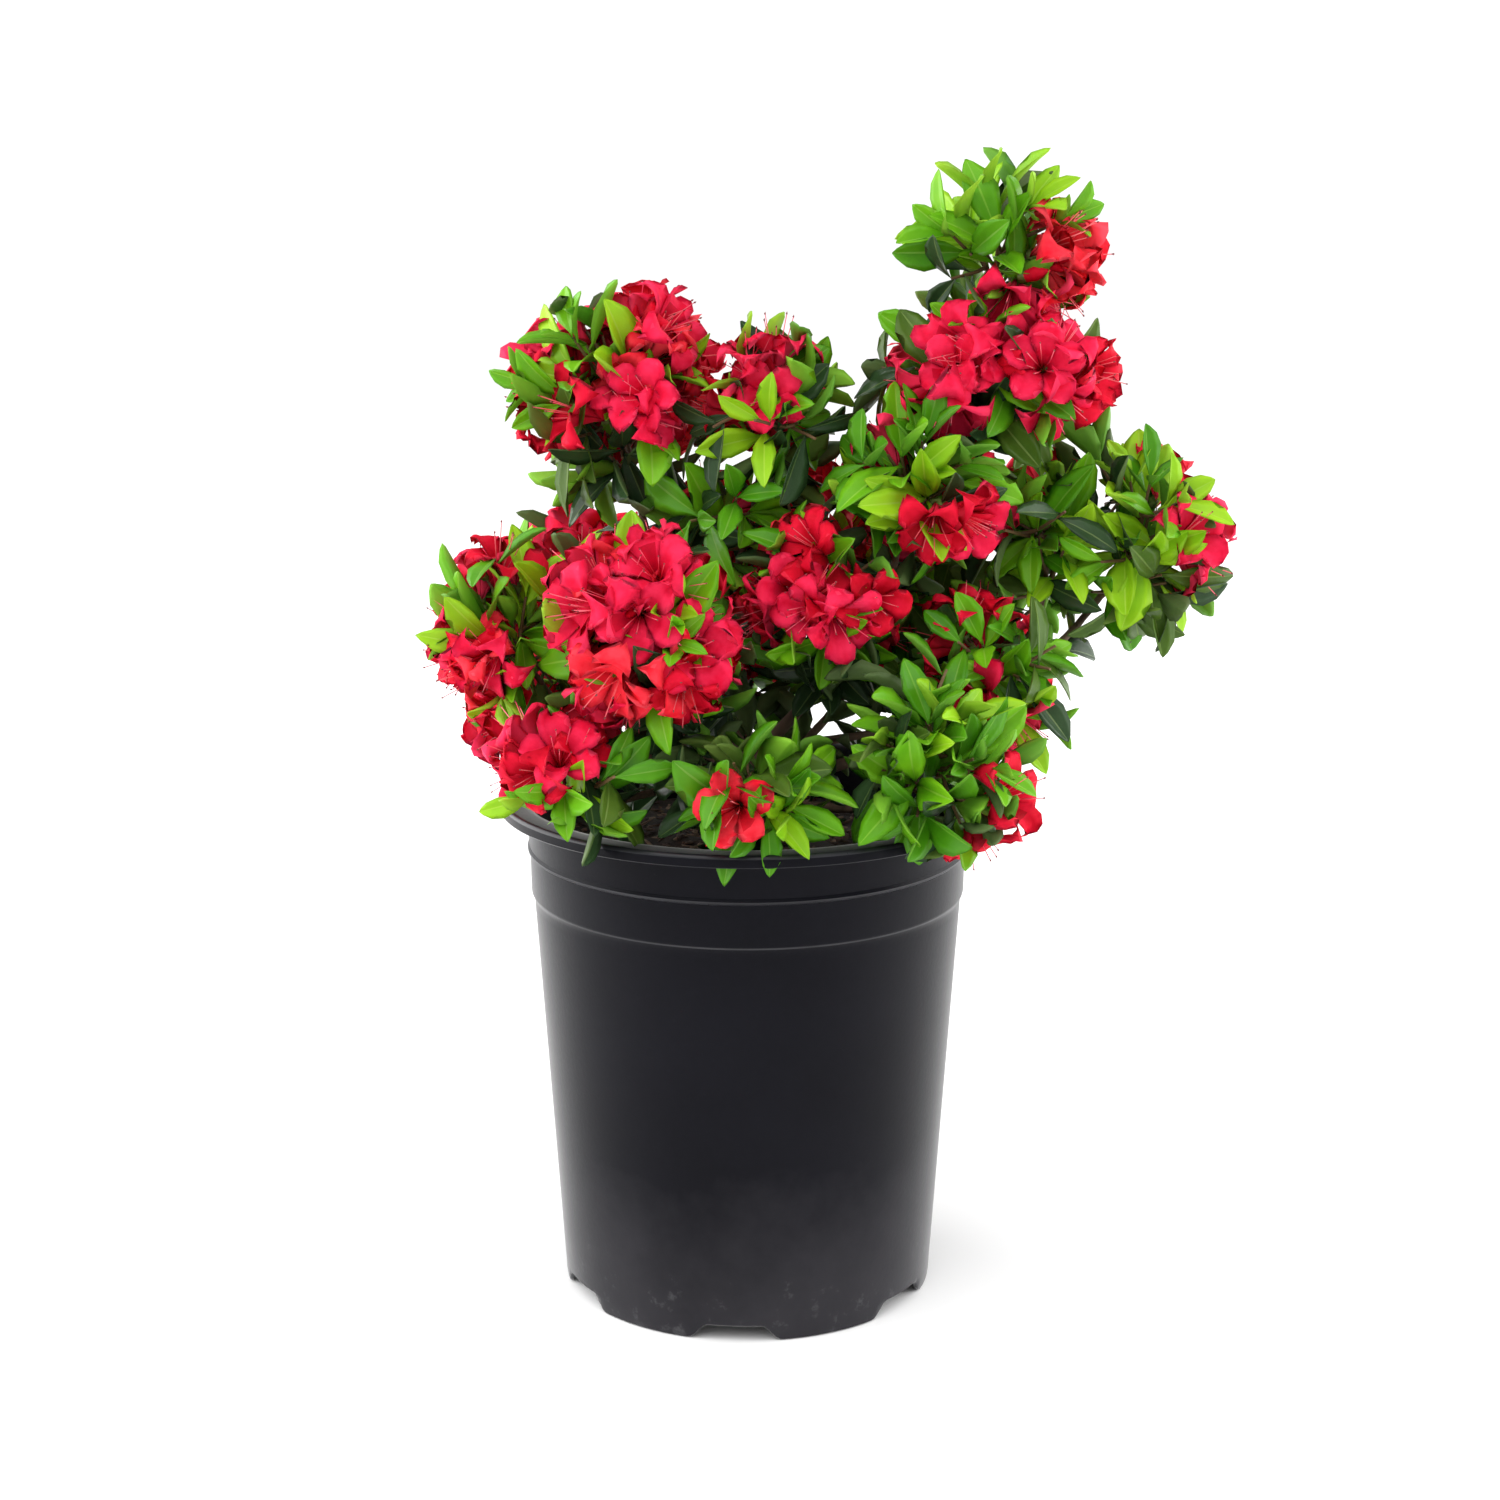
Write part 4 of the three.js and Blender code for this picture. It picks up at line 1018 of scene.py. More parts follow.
# %% A shoot to a chosen place
def shoot_to(space, kind, tip, outward, size, twigs, crowd, draw):
    """A shoot that leaves the nearest twig for a place in a space."""
    starts = np.array([twig["start"] + (twig["end"] - twig["start"]) * 0.35 for twig in twigs])
    near = starts[norm(starts - tip, axis=1).argmin()]
    twig = twig_at(near, tip)
    if norm(tip - near) < 6 or not fits(space, twig, crowd, SNUG["twig"]):
        return None
    lean = unit(unit(tip - near) * 0.5 + outward * 0.5)
    made = ends_of(twig, lean, FINER[kind], size, space, crowd, draw, SNUG[kind])
    return dict(tip=tip, organs=[twig, *made], kind=kind) if len(made) > 1 else None


def side_shoot(mass, space, kind, direction, least, twigs, crowd, draw):
    """A shoot in a direction from the middle of a mass, at least a given share of the way out."""
    room = room_towards(mass, direction)
    if space is whole_crown:
        room = max(room, 0.75 * egg_radius(mass, direction))
    size = min(max(room / (FINER[kind]["room"] + 12), 0.62), 0.95) * (0.88 + 0.16 * draw())
    length = max(3, room - FINER[kind]["room"] * size) * (least + (1 - least) * draw())
    tip = mass["middle"] + direction * length
    return shoot_to(space, kind, tip, direction, size * FINER_SIZE[kind], twigs, crowd, draw)


def crowd_near(place, reach):
    """What grows near a place, whatever its mass."""
    return together(organs_of([shoot for mass in masses for shoot in mass["shoots"]
                               if norm(shoot["tip"] - place) < reach]))


# %% The shoots that the photograph shows
def seen_shoots(mass, draw):
    """Grows each shoot that is asked for. Leaves take the place of a truss that stands there."""
    shoots = mass["shoots"]
    twigs = twigs_of(shoots)
    for kind, direction in SEEN_SHOOTS.get(mass["name"], ()):
        direction = unit(direction)
        place = mass["middle"] + direction * (room_towards(mass, direction) - SEEN["inside"])
        for shoot in shoots:
            there = norm(shoot["tip"] - place) < SEEN["leafy"]
            if there and shoot["kind"] == "truss" and kind in ("spray", "older"):
                make_leafy(mass, shoots, shoot, kind, draw)
        crowd = crowd_near(place, SEEN["around"])
        tries = []
        for _ in range(SEEN["tries"]):
            nudged = unit(direction + SEEN["nudge"] * (np.array((draw(), draw(), draw())) - 0.5))
            tries.append(side_shoot(mass, whole_crown, kind, nudged, SEEN["least"], twigs, crowd, draw))
        grown = [shoot for shoot in tries if shoot]
        if grown:
            shoots.append(max(grown, key=lambda shoot: len(shoot["organs"])))


# %% Carry one mass on
def blossom_side(mass):
    side = BLOSSOM_SIDES.get(mass["name"])
    return unit(side) if side else None


def grow_finer(mass, draw):
    axis, side = growth_axis(mass), blossom_side(mass)
    shoots = mass["shoots"]
    twigs = twigs_of(shoots)
    crowd = crowd_near(mass["middle"], mass["reach"].max() + 40)
    for shoot in shoots:
        more = back_leaves(mass, shoot, crowd, draw)
        shoot["organs"] += more
        if more:
            crowd += together(more)
    for kind, count in zip(FINER, FINER_SHOOTS[mass["name"]]):
        lowest = FINER[kind]["lowest"]
        for _ in range(count):
            tries = []
            for _ in range(FINER_TRIES):
                height = lowest + (1 - lowest) * draw()
                direction = tilted(axis, math.acos(height), draw() * FULL_TURN)
                if kind != "truss" or side is None or direction @ side > 0:
                    tries.append(side_shoot(mass, mass, kind, direction, 0.35, twigs, crowd, draw))
            tips = np.array([shoot["tip"] for shoot in shoots])
            grown = [shoot for shoot in tries if shoot]
            if grown:
                best = max(grown, key=lambda shoot: SCORE["organ"] * len(shoot["organs"])
                           + min(FINER_ROOM, norm(tips - shoot["tip"], axis=1).min()))
                shoots.append(best)
                crowd += together(best["organs"])


# %% Carry all the masses on, each with its own draws
mass_draws = [seeded(7001 + number) for number in range(len(masses))]
for mass, draw in zip(masses, mass_draws):
    side = blossom_side(mass)
    for shoot in mass["shoots"]:
        if side is not None and shoot["kind"] == "truss" and (shoot["tip"] - mass["middle"]) @ side <= 0:
            make_leafy(mass, mass["shoots"], shoot, "spray", draw)
for mass, draw in zip(masses, mass_draws):
    seen_shoots(mass, draw)
for mass, draw in zip(masses, mass_draws):
    grow_finer(mass, draw)
print("with finer growth:", count_organs())


# %% Look for places that are still empty
def places_to_fill(draw):
    """Places strewn in the outer part of each mass, with their masses and how far out they lie."""
    places, owners, shares = [], [], []
    for mass in masses:
        if mass["name"] in FILLING["left_open"]:
            continue
        for _ in range(FILLING["places"]):
            direction = tilted(UPWARDS, math.acos(1 - 2 * draw()), draw() * FULL_TURN)
            share = FILLING["inner"] + (FILLING["outer"] - FILLING["inner"]) * draw()
            places.append(mass["middle"] + direction * egg_radius(mass, direction) * share)
            owners.append(mass)
            shares.append(share)
    return np.array(places), owners, shares


def nearest_distance(places, beads):
    return np.sqrt(((places[:, None] - beads) ** 2).sum(2).min(1))


# %% Fill the emptiest places first, also between two masses
def fill_empty_places():
    draw = seeded(8101)
    places, owners, shares = places_to_fill(draw)
    shoots = [(mass, shoot) for mass in masses for shoot in mass["shoots"]]
    clear = np.full(len(places), np.inf)
    for organ in organs_of([shoot for _, shoot in shoots]):
        clear = np.minimum(clear, nearest_distance(places, organ["beads"]))
    filled = 0
    while filled < FILLING["shoots"] and clear.max() > FILLING["clear"]:
        at = int(clear.argmax())
        place, mass = places[at], owners[at]
        clear[at] = 0
        tips = np.array([shoot["tip"] for _, shoot in shoots])
        away = norm(tips - place, axis=1)
        kind = shoots[int(away.argmin())][1]["kind"]
        # Deep inside and low down the leaves are older and darker: real older growth, and painted shade as
        # well
        shaded = shares[at] < FILLING["deep"] or place[2] < FILLING["low"]
        if shaded or (kind == "spray" and draw() < 0.5):
            kind = "older"
        around = [shoots[i][1] for i in np.flatnonzero(away < FILLING["around"])]
        crowd, twigs = together(organs_of(around)), twigs_of(around)
        size = FILLING["size"] * (0.85 + 0.3 * draw())
        grown = shoot_to(whole_crown, kind, place, unit(place - mass["middle"]), size, twigs, crowd, draw)
        if grown:
            filled += 1
            mass["shoots"].append(grown)
            shoots.append((mass, grown))
            for organ in grown["organs"]:
                clear = np.minimum(clear, nearest_distance(places, organ["beads"]))
    return filled


print(fill_empty_places(), "shoots in empty places;", count_organs())

# %% Leaves on the bare ends of the boughs
# For each bough, from what share of its length on it bears leaves, and how many
BOUGH_LEAVES = dict(upper_left=(0.7, 5), upper_mid=(0.55, 4), top_crown=(0.6, 4), right_tip=(0.72, 3),
                    centre_upper=(0.3, 7), mid_right=(0.25, 7), top_collar=(0.4, 3), left_front=(0.2, 10),
                    centre=(0.2, 8), foot_left=(0.2, 8), front_right=(0.2, 8), foot_centre=(0.2, 6),
                    right_under=(0.3, 5), inner_top=(0.3, 4), back_left=(0.25, 9), back_mid=(0.25, 9),
                    back_right=(0.25, 9), side_left=(0.2, 9), side_right=(0.2, 7))
BOUGH_LEAF = dict(spread=66, size=0.8, spill=1.4, apart=2)


def leaves_on_bough(mass, first, count, draw):
    """Leaves round a bough, in the crown or right over the mix, a little apart from all else."""
    curve, made = limbs[mass["name"]]["curve"], []
    beads = together(organs_of(mass["shoots"]))
    for i in range(count):
        share = first + (0.98 - first) * i / count
        along = unit(curve.at(share + 0.01) - curve.at(share))
        leaf = leaf_at(curve.at(share), along, i * GOLDEN_TURN, BOUGH_LEAF["spread"], BOUGH_LEAF["size"],
                       draw)
        taken = beads + [(one["beads"], one["sizes"]) for one in made]
        out, height = np.hypot(*leaf["ends"].T[:2]), leaf["ends"][:, 2]
        over_mix = out.max() < POT["rim"] - 11 and height.min() > MIX["top"] + 10
        within = over_mix or in_crown(leaf["ends"], BOUGH_LEAF["spill"])
        apart = all((norm(leaf["beads"][1:, None] - some, axis=2) > BOUGH_LEAF["apart"]).all()
                    for some, _ in taken)
        if within and apart and not in_pot(leaf["ends"]):
            made.append(leaf)
    return made


bough_draw = seeded(8203)
bough_leaves = [leaf for mass in masses if mass["name"] in BOUGH_LEAVES
                for leaf in leaves_on_bough(mass, *BOUGH_LEAVES[mass["name"]], bough_draw)]
print(len(bough_leaves), "leaves on the boughs")

# %% Clear the left end of the rim
# The photograph shows the rim bare there, so what hangs over it comes off
FREE_RIM = dict(left_of=-76, in_front_of=20, below=239)


def over_free_rim(ends):
    x, y, z = ends.T
    return bool(((x < FREE_RIM["left_of"]) & (y < FREE_RIM["in_front_of"]) & (z < FREE_RIM["below"])).any())


for mass in masses:
    for shoot in mass["shoots"]:
        shoot["organs"] = [organ for organ in shoot["organs"] if not over_free_rim(organ["ends"])]
    mass["shoots"] = [shoot for shoot in mass["shoots"]
                      if len(shoot["organs"]) > 1 and shoot["organs"][0]["kind"] == "twig"]
every_shoot = [(mass, shoot) for mass in masses for shoot in mass["shoots"]]
print(len(every_shoot), "shoots kept;", count_organs())

# %% [markdown]
# ## Limbs with bark
# Trunk, boughs and stems are tubes along curves, thicker at their foot. A node tree turns each line of
# points into a tube from the thickness kept at its points, and then pushes the skin out and in along its
# normals by a noise that is drawn out along the limb: that is the bark's relief.


# %% A tree that makes limbs from lines
def limb_tree():
    tree = NodeTree("Limbs with relief", {"Sides": "Int", "Relief": "Float", "Grain": "Float",
                                          "Drawn out": "Vector", "Bark": "Material"})
    given = tree.given
    line = tree.add("GeometryNodeMeshToCurve", {"Mesh": given["Geometry"]})
    thick = tree.attribute("thick", "FLOAT")
    ring = tree.add("GeometryNodeCurvePrimitiveCircle", {"Resolution": given["Sides"], "Radius": 1.0})
    tube = tree.add("GeometryNodeCurveToMesh",
                    {"Curve": line.outputs["Curve"], "Profile Curve": ring.outputs["Curve"], "Scale": thick,
                     "Fill Caps": True})
    place = tree.add("GeometryNodeInputPosition")
    drawn = tree.add("ShaderNodeVectorMath", {"Vector": place.outputs[0], "Vector_001": given["Drawn out"]},
                     operation="MULTIPLY")
    noise = tree.add("ShaderNodeTexNoise", {"Vector": drawn.outputs["Vector"], "Scale": given["Grain"],
                                            "Detail": 3.0})
    even = tree.add("ShaderNodeMath", {"Value": noise.outputs["Fac"], "Value_001": 0.5}, operation="SUBTRACT")
    deep = tree.add("ShaderNodeMath", {"Value": even.outputs["Value"], "Value_001": given["Relief"]},
                    operation="MULTIPLY")
    skin = tree.add("GeometryNodeInputNormal")
    push = tree.add("ShaderNodeVectorMath",
                    {"Vector": skin.outputs["Normal"], "Scale": deep.outputs["Value"]}, operation="SCALE")
    rough = tree.add("GeometryNodeSetPosition",
                     {"Geometry": tube.outputs["Mesh"], "Offset": push.outputs["Vector"]})
    real = tree.add("GeometryNodeRealizeInstances", {"Geometry": rough.outputs["Geometry"]})
    barked = tree.add("GeometryNodeSetMaterial",
                      {"Geometry": real.outputs["Geometry"], "Material": given["Bark"]})
    return tree.end(barked.outputs["Geometry"])


# %% Lines of points as one mesh
def lines_piece(name, lines):
    """Lines of points in millimetres, each with its thicknesses, as edges of one mesh."""
    points, thick, edges = [], [], []
    for line, sizes in lines:
        first = len(points)
        points += list(line)
        thick += list(sizes)
        edges += [(first + k, first + k + 1) for k in range(len(line) - 1)]
    piece = mesh_piece(name, points, [], edges=edges)
    give(piece.data, "thick", "FLOAT", np.array(thick) * MM)
    return piece


# %% The lines of the trunk and boughs
def limb_line(name, limb):
    """Points and radii along a limb. The trunk flares at its foot and is rounded over at its top."""
    curve, start, end = limb["curve"], limb["start"], limb["end"]
    share = np.linspace(0, 1, max(8, round(curve.length() / 2.2)))
    if name == "trunk":
        flare = end + (start - end) * (1 - share) ** 2.4
        over = curve.at(1.0) + np.array((0.3, -0.3, 2.2))
        return np.vstack((curve.at(share), over)), np.append(flare, end * 0.55)
    collar = 0.7 * np.exp(-share * curve.length() / 9)
    return curve.at(share), 0.86 * (start + (end - start) * share) + collar


woody_bark = finish("woody_bark", ((0.085, 0.050, 0.030), (0.19, 0.125, 0.078)), 0.82, 90, bump=0.7,
                    bump_grain=520, stretch=(1, 1, 0.3))
limb_maker = limb_tree()
woody_limbs = run_tree(lines_piece("woody_limbs", [limb_line(*item) for item in limbs.items()]), limb_maker,
                       {"Sides": 18, "Relief": 0.0011, "Grain": 330.0, "Drawn out": (1.0, 1.0, 0.28),
                        "Bark": woody_bark})
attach(woody_limbs, "root")
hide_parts("trunk", *BOUGH_NODES)

# %% [markdown]
# ## Stems and twigs
# Inside a mass one stem goes on from the bough's tip, and the twigs leave it. Young azalea twigs are thin,
# reddish brown and a little bowed. The same tree makes them, with fewer sides and hardly any relief.

# %% The lines of stems and twigs
STEM_RADII = (1.5, 0.9)
TWIG_RADII = (0.95, 0.62)
TWIG_BOW = 0.05


def bowed(start, end, bow):
    """A line that hangs through by as much as the bow, a third of the way along."""
    share = np.linspace(0, 1, 6)[:, None]
    line = start + (end - start) * share
    line[:, 2] -= (27 / 4 * bow * (1 - share) ** 2 * share)[:, 0]
    return line


def twig_lines():
    lines = []
    for mass in masses:
        tip = limbs[mass["name"]]["curve"].at(1.0)
        stem = mass["stem"]["curve"].at(np.linspace(0, 1, 12))
        lines.append((np.vstack((tip, stem)), np.append(STEM_RADII[0], np.linspace(*STEM_RADII, 12))))
        for shoot in mass["shoots"]:
            start, end = shoot["organs"][0]["start"], shoot["organs"][0]["end"]
            line = bowed(start, end, TWIG_BOW * norm(end - start))
            lines.append((line, np.linspace(*TWIG_RADII, 6)))
    return lines


young_bark = finish("young_bark", ((0.13, 0.060, 0.030), (0.17, 0.105, 0.040)), 0.65, 60, bump=0.3,
                    bump_grain=600)
thin_twigs = run_tree(lines_piece("thin_twigs", twig_lines()), limb_maker,
                      {"Sides": 7, "Relief": 0.00018, "Grain": 700.0, "Drawn out": (1.0, 1.0, 0.6),
                       "Bark": young_bark})
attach(thin_twigs, "root")
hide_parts(*FOLIAGE_NODES)

# %% [markdown]
# ## The shapes of the leaves
# An azalea leaf is an oval that is widest past its middle, with a short point, folded a little along a pale
# rib. One function bends, folds and twists a small net of faces into several such leaves, each closed by an
# underside. The faces carry a number for upper side, rib and underside, so that each can have its finish.

# %% A blade closed by an underside
UPPER, RIB, UNDER = 0, 1, 2


def closed_blade(net, across, thick, front_parts, back_part):
    """Faces for a net of points, row by row, closed behind by a second skin that shares its edges."""
    rows = len(net) // across
    points = [tuple(p) for p in net]
    behind = {}
    for row in range(1, rows - 1):
        for k in range(1, across - 1):
            behind[row * across + k] = len(points)
            points.append(tuple(np.array(net[row * across + k]) - (0, 0, thick)))
    faces, parts = [], []
    for row in range(rows - 1):
        for k in range(across - 1):
            a = row * across + k
            corners = (a, a + 1, a + across + 1, a + across)
            faces += [corners, tuple(behind.get(c, c) for c in corners[::-1])]
            parts += [front_parts(row, k), back_part]
    return points, faces, parts


# %% Leaf shapes, from rows that run from stalk to tip: the share of the length, and half the width there
LEAF_ROWS = ((0, 0.045), (0.12, 0.08), (0.34, 0.36), (0.6, 0.5), (0.82, 0.37), (0.95, 0.15), (1, 0.02))
LEAF_ACROSS = (-1, -0.52, -0.06, 0.06, 0.52, 1)


def leaf_shape(name, bend, fold, twist, wave):
    """A leaf 1 long along Y and 1 wide, its upper side towards Z."""
    net = []
    for row, (share, half) in enumerate(LEAF_ROWS):
        for side in LEAF_ACROSS:
            x = side * half
            z = -bend * share**2 + fold * abs(x) - 0.35 * fold * abs(x) ** 2
            z += twist * x * share + wave * math.sin(row * 2.1 + 1.2 * side) * abs(side)
            net.append((x, share, z))
    parts = closed_blade(net, len(LEAF_ACROSS), 0.018, lambda row, k: RIB if k == 2 else UPPER, UNDER)
    return shape_piece(name, *parts)


def shape_piece(name, points, faces, parts):
    """A shape about 1 long. The tree that sets it down gives it its size in metres."""
    return mesh_piece(name, np.array(points) / MM, faces, parts=parts)


# For each leaf: how far it bends down, folds, twists and waves
LEAF_FORMS = ((0.10, 0.30, 0.10, 0.006), (0.24, 0.20, -0.15, 0.010), (0.02, 0.38, 0.20, 0.006),
              (0.34, 0.16, 0.05, 0.012), (0.16, 0.26, -0.28, 0.010), (-0.08, 0.34, 0.0, 0.006))
leaf_shapes = [leaf_shape(f"leaf_{k}", *form) for k, form in enumerate(LEAF_FORMS)]
leaf_shelf = shelf("leaf_shapes", leaf_shapes)
print("a leaf has", len(leaf_shapes[0].data.polygons), "faces")

# %% [markdown]
# ## The shapes of the flowers
# The flower is a short funnel that opens into five broad petals with waved edges. Long stamens with dark
# anthers stand out of it, and a small green calyx holds it. Each petal is a blade like a leaf, rolled round
# the funnel below and spread above, and the five overlap a little.

# %% Petals
FACE, THROAT, BACK, THREAD, ANTHER, CALYX = range(6)
# Rows from the tube to the edge: how far out, how high, and half the width there
PETAL_ROWS = ((0.02, -0.06, 0.02), (0.13, 0.34, 0.11), (0.33, 0.76, 0.27), (0.60, 1.02, 0.42),
              (0.84, 1.11, 0.41), (0.99, 1.11, 0.26), (1.07, 1.07, 0.05))
PETAL_ACROSS = (-1, -0.5, 0, 0.5, 1)
WIDEST_FAN = 0.68  # in radians, so that petals don't cross in the tube
OVERLAP = 0.07  # one side of each petal is lifted over its neighbour


def petal(angle, curl, ruffle, phase, reach):
    net = []
    for row, (out, height, half) in enumerate(PETAL_ROWS):
        share = row / (len(PETAL_ROWS) - 1)
        for side in PETAL_ACROSS:
            fan = side * half / max(out, 0.05)
            fan = max(-WIDEST_FAN, min(WIDEST_FAN, fan)) if row < 3 else fan
            open_out = out * (1 + (reach - 1) * share)
            z = height - curl * max(0, share - 0.45) ** 2 * 3
            z += ruffle * share**2 * math.sin(2.6 * side + phase + 4 * share) * (0.3 + abs(side))
            z += 0.08 * share * abs(side) - 0.05 * share * (1 - abs(side)) + OVERLAP * share * side
            turn = angle + fan
            net.append((open_out * math.cos(turn), open_out * math.sin(turn), z))
    upper = abs(math.sin(angle / 2)) < 0.35

    def part_of(row, k):
        return THROAT if row < 1 or (upper and row < 3 and k in (1, 2)) else FACE

    return closed_blade(net, len(PETAL_ACROSS), 0.02, part_of, BACK)


# %% Stamens
def thread(angle, spread, length, curve):
    """A stamen: a three-sided thread that curves to one side, with its anther."""
    points, faces, parts = [], [], []
    for k, share in enumerate((0, 0.5, 1)):
        out = 0.03 + spread * share
        centre = np.array((out * math.cos(angle) - curve * share**2, out * math.sin(angle),
                           0.3 + length * share))
        for side in range(3):
            turn = side * FULL_TURN / 3
            thick = 0.018 - 0.003 * k
            points.append(centre + np.array((thick * math.cos(turn), thick * math.sin(turn), 0)))
    for k in range(2):
        for side in range(3):
            nxt = (side + 1) % 3
            faces.append((3 * k + side, 3 * k + nxt, 3 * k + 3 + nxt, 3 * k + 3 + side))
            parts.append(THREAD)
    faces += [(2, 1, 0), (6, 7, 8)]
    parts += [THREAD, THREAD]
    top = len(points)
    for offset in ((0, 0, 0.045), (0.028, 0, 0), (-0.014, 0.024, 0), (-0.014, -0.024, 0), (0, 0, -0.04)):
        points.append(centre + np.array(offset))
    for k in range(3):
        nxt = (k + 1) % 3
        faces += [(top, top + 1 + k, top + 1 + nxt), (top + 4, top + 1 + nxt, top + 1 + k)]
        parts += [ANTHER, ANTHER]
    return points, faces, parts


# %% Calyx
def calyx():
    """A small green cup under the flower, with five points."""
    points, faces, parts = [(0, 0, -0.16)], [], []
    for k in range(10):
        turn = k * math.pi / 5
        out, height = (0.15, 0.16) if k % 2 else (0.13, 0.02)
        points.append((out * math.cos(turn), out * math.sin(turn), height))
    points.append((0, 0, 0.0))
    for k in range(10):
        a, b = 1 + k, 1 + (k + 1) % 10
        faces += [(0, b, a), (11, a, b)]
        parts += [CALYX, CALYX]
    return points, faces, parts


# %% Whole flowers, each a little different
def joined(bodies):
    points, faces, parts = [], [], []
    for some_points, some_faces, some_parts in bodies:
        first = len(points)
        points += [tuple(p) for p in some_points]
        faces += [tuple(first + c for c in face) for face in some_faces]
        parts += some_parts
    return points, faces, parts


def flower_shape(name, seed):
    draw = np.random.default_rng(seed)
    bodies = []
    for k in range(5):
        bodies.append(petal(k * FULL_TURN / 5 + 0.12 * (draw.random() - 0.5), 0.1 + 0.5 * draw.random(),
                            0.12 + 0.13 * draw.random(), 6 * draw.random(), 0.82 + 0.18 * draw.random()))
    for k in range(5):
        bodies.append(thread(k * 0.4 * math.pi + 0.5 * draw.random(), 0.12 + 0.28 * draw.random(),
                             0.9 + 0.45 * draw.random(), 0.25 * draw.random() - 0.05))
    bodies.append(calyx())
    return shape_piece(name, *joined(bodies))


flower_shapes = [flower_shape(f"flower_{k}", 200 + k) for k in range(7)]
flower_shelf = shelf("flower_shapes", flower_shapes)
print("a flower has", len(flower_shapes[0].data.polygons), "faces")


# %% A bud: petals still rolled into a point
def bud_shape(name, seed, sides=8):
    draw = np.random.default_rng(seed)
    rows = ((0.0, 0.10), (0.25, 0.15), (0.55, 0.17), (0.8, 0.12), (1.0, 0.05))
    points, faces, parts = [(0, 0, -0.1)], [], []
    for row, (height, radius) in enumerate(rows):
        for k in range(sides):
            turn = k * FULL_TURN / sides + 0.5 * row
            swell = radius * (1 + 0.18 * (k % 2)) * (0.94 + 0.12 * draw.random())
            points.append((swell * math.cos(turn), swell * math.sin(turn), height))
    tip = len(points)
    points.append((0, 0, 1.08))
    for k in range(sides):
        nxt = (k + 1) % sides
        faces.append((0, 1 + nxt, 1 + k))
        for low in range(1, tip - sides, sides):
            faces.append((low + k, low + nxt, low + sides + nxt, low + sides + k))
        faces.append((tip - sides + k, tip - sides + nxt, tip))
        parts += [CALYX, CALYX] + [FACE] * (len(rows) - 1)
    return shape_piece(name, points, faces, parts)


bud_shapes = [bud_shape(f"bud_{k}", 300 + k) for k in range(3)]
bud_shelf = shelf("bud_shapes", bud_shapes)
print("a bud has", len(bud_shapes[0].data.polygons), "faces")

# %% [markdown]
# ## Setting leaves and flowers down
# The grown shoots say where each leaf and flower sits, how it is turned and how large it is. They become
# points that carry these as attributes, and a node tree puts a shape on each point, makes the copies real
# and gives each part its finish. Colours differ from shoot to shoot, so each tint has a piece of its own.


# %% The tree that sets shapes on points
def setting_tree(name, labels):
    tree = NodeTree(name, {"Shapes": "Collection", **{label: "Material" for label in labels}})
    shapes = tree.add("GeometryNodeCollectionInfo",
                      {"Collection": tree.given["Shapes"], "Separate Children": True, "Reset Children": True})
    turned = tree.add("FunctionNodeEulerToRotation", {"Euler": tree.attribute("turn", "FLOAT_VECTOR")})
    placed = tree.add("GeometryNodeInstanceOnPoints",
                      {"Points": tree.given["Geometry"], "Instance": shapes.outputs[0],
                       "Pick Instance": True, "Instance Index": tree.attribute("shape", "INT"),
                       "Rotation": turned.outputs["Rotation"],
                       "Scale": tree.attribute("size", "FLOAT_VECTOR")})
    real = tree.add("GeometryNodeRealizeInstances", {"Geometry": placed.outputs["Instances"]})
    return tree.end(paint_parts(tree, real.outputs["Geometry"], "part", labels))


# %% Points that carry the turn, the size and the shape of what is set on them
SLIM = 0.86  # how wide a leaf is beside its width in the solids


def facing(x, y, z):
    """The turn of a shape whose own axes come to lie along three directions."""
    return tuple(Matrix(np.column_stack((x, y, z)).tolist()).to_euler())


def organ_points(name, organs, kinds):
    piece = mesh_piece(name, [organ["at"] for organ in organs], [])
    turns, sizes, shapes = [], [], []
    for number, organ in enumerate(organs):
        along = organ["along"]
        if organ["kind"] == "leaf":
            turns.append(facing(unit(cross(along, organ["up"])), along, organ["up"]))
            sizes.append(np.array((organ["width"] * SLIM, organ["length"], organ["length"])) * MM)
        else:
            side = tilted(along, math.pi / 2, organ["roll"])
            turns.append(facing(side, cross(along, side), along))
            sizes.append(np.full(3, organ["radius"] * MM))
        shapes.append(number * 5 % kinds)
    give(piece.data, "turn", "FLOAT_VECTOR", turns)
    give(piece.data, "size", "FLOAT_VECTOR", sizes)
    give(piece.data, "shape", "INT", shapes)
    return piece


# %% [markdown]
# ## Leaf tints
# This year's leaves are a bright yellow green, those that have just hardened are mid green, and last year's
# are a dark blue green with more gloss. Each tint has an upper side, a paler rib and a dull pale underside.

# %% Finishes of the leaves
# Each tint is a deep tone, a light tone and a roughness
LEAF_TINTS = dict(
    young=((0.22, 0.49, 0.008), (0.34, 0.61, 0.014), 0.42),
    fresh=((0.105, 0.355, 0.006), (0.185, 0.47, 0.010), 0.38),
    green=((0.058, 0.24, 0.005), (0.100, 0.325, 0.009), 0.36),
    old=((0.018, 0.046, 0.015), (0.036, 0.078, 0.026), 0.30),
    olive=((0.050, 0.110, 0.010), (0.085, 0.160, 0.016), 0.38),
)


def paler(tone, share, to=(0.42, 0.55, 0.16)):
    return tuple(a + (b - a) * share for a, b in zip(tone, to))


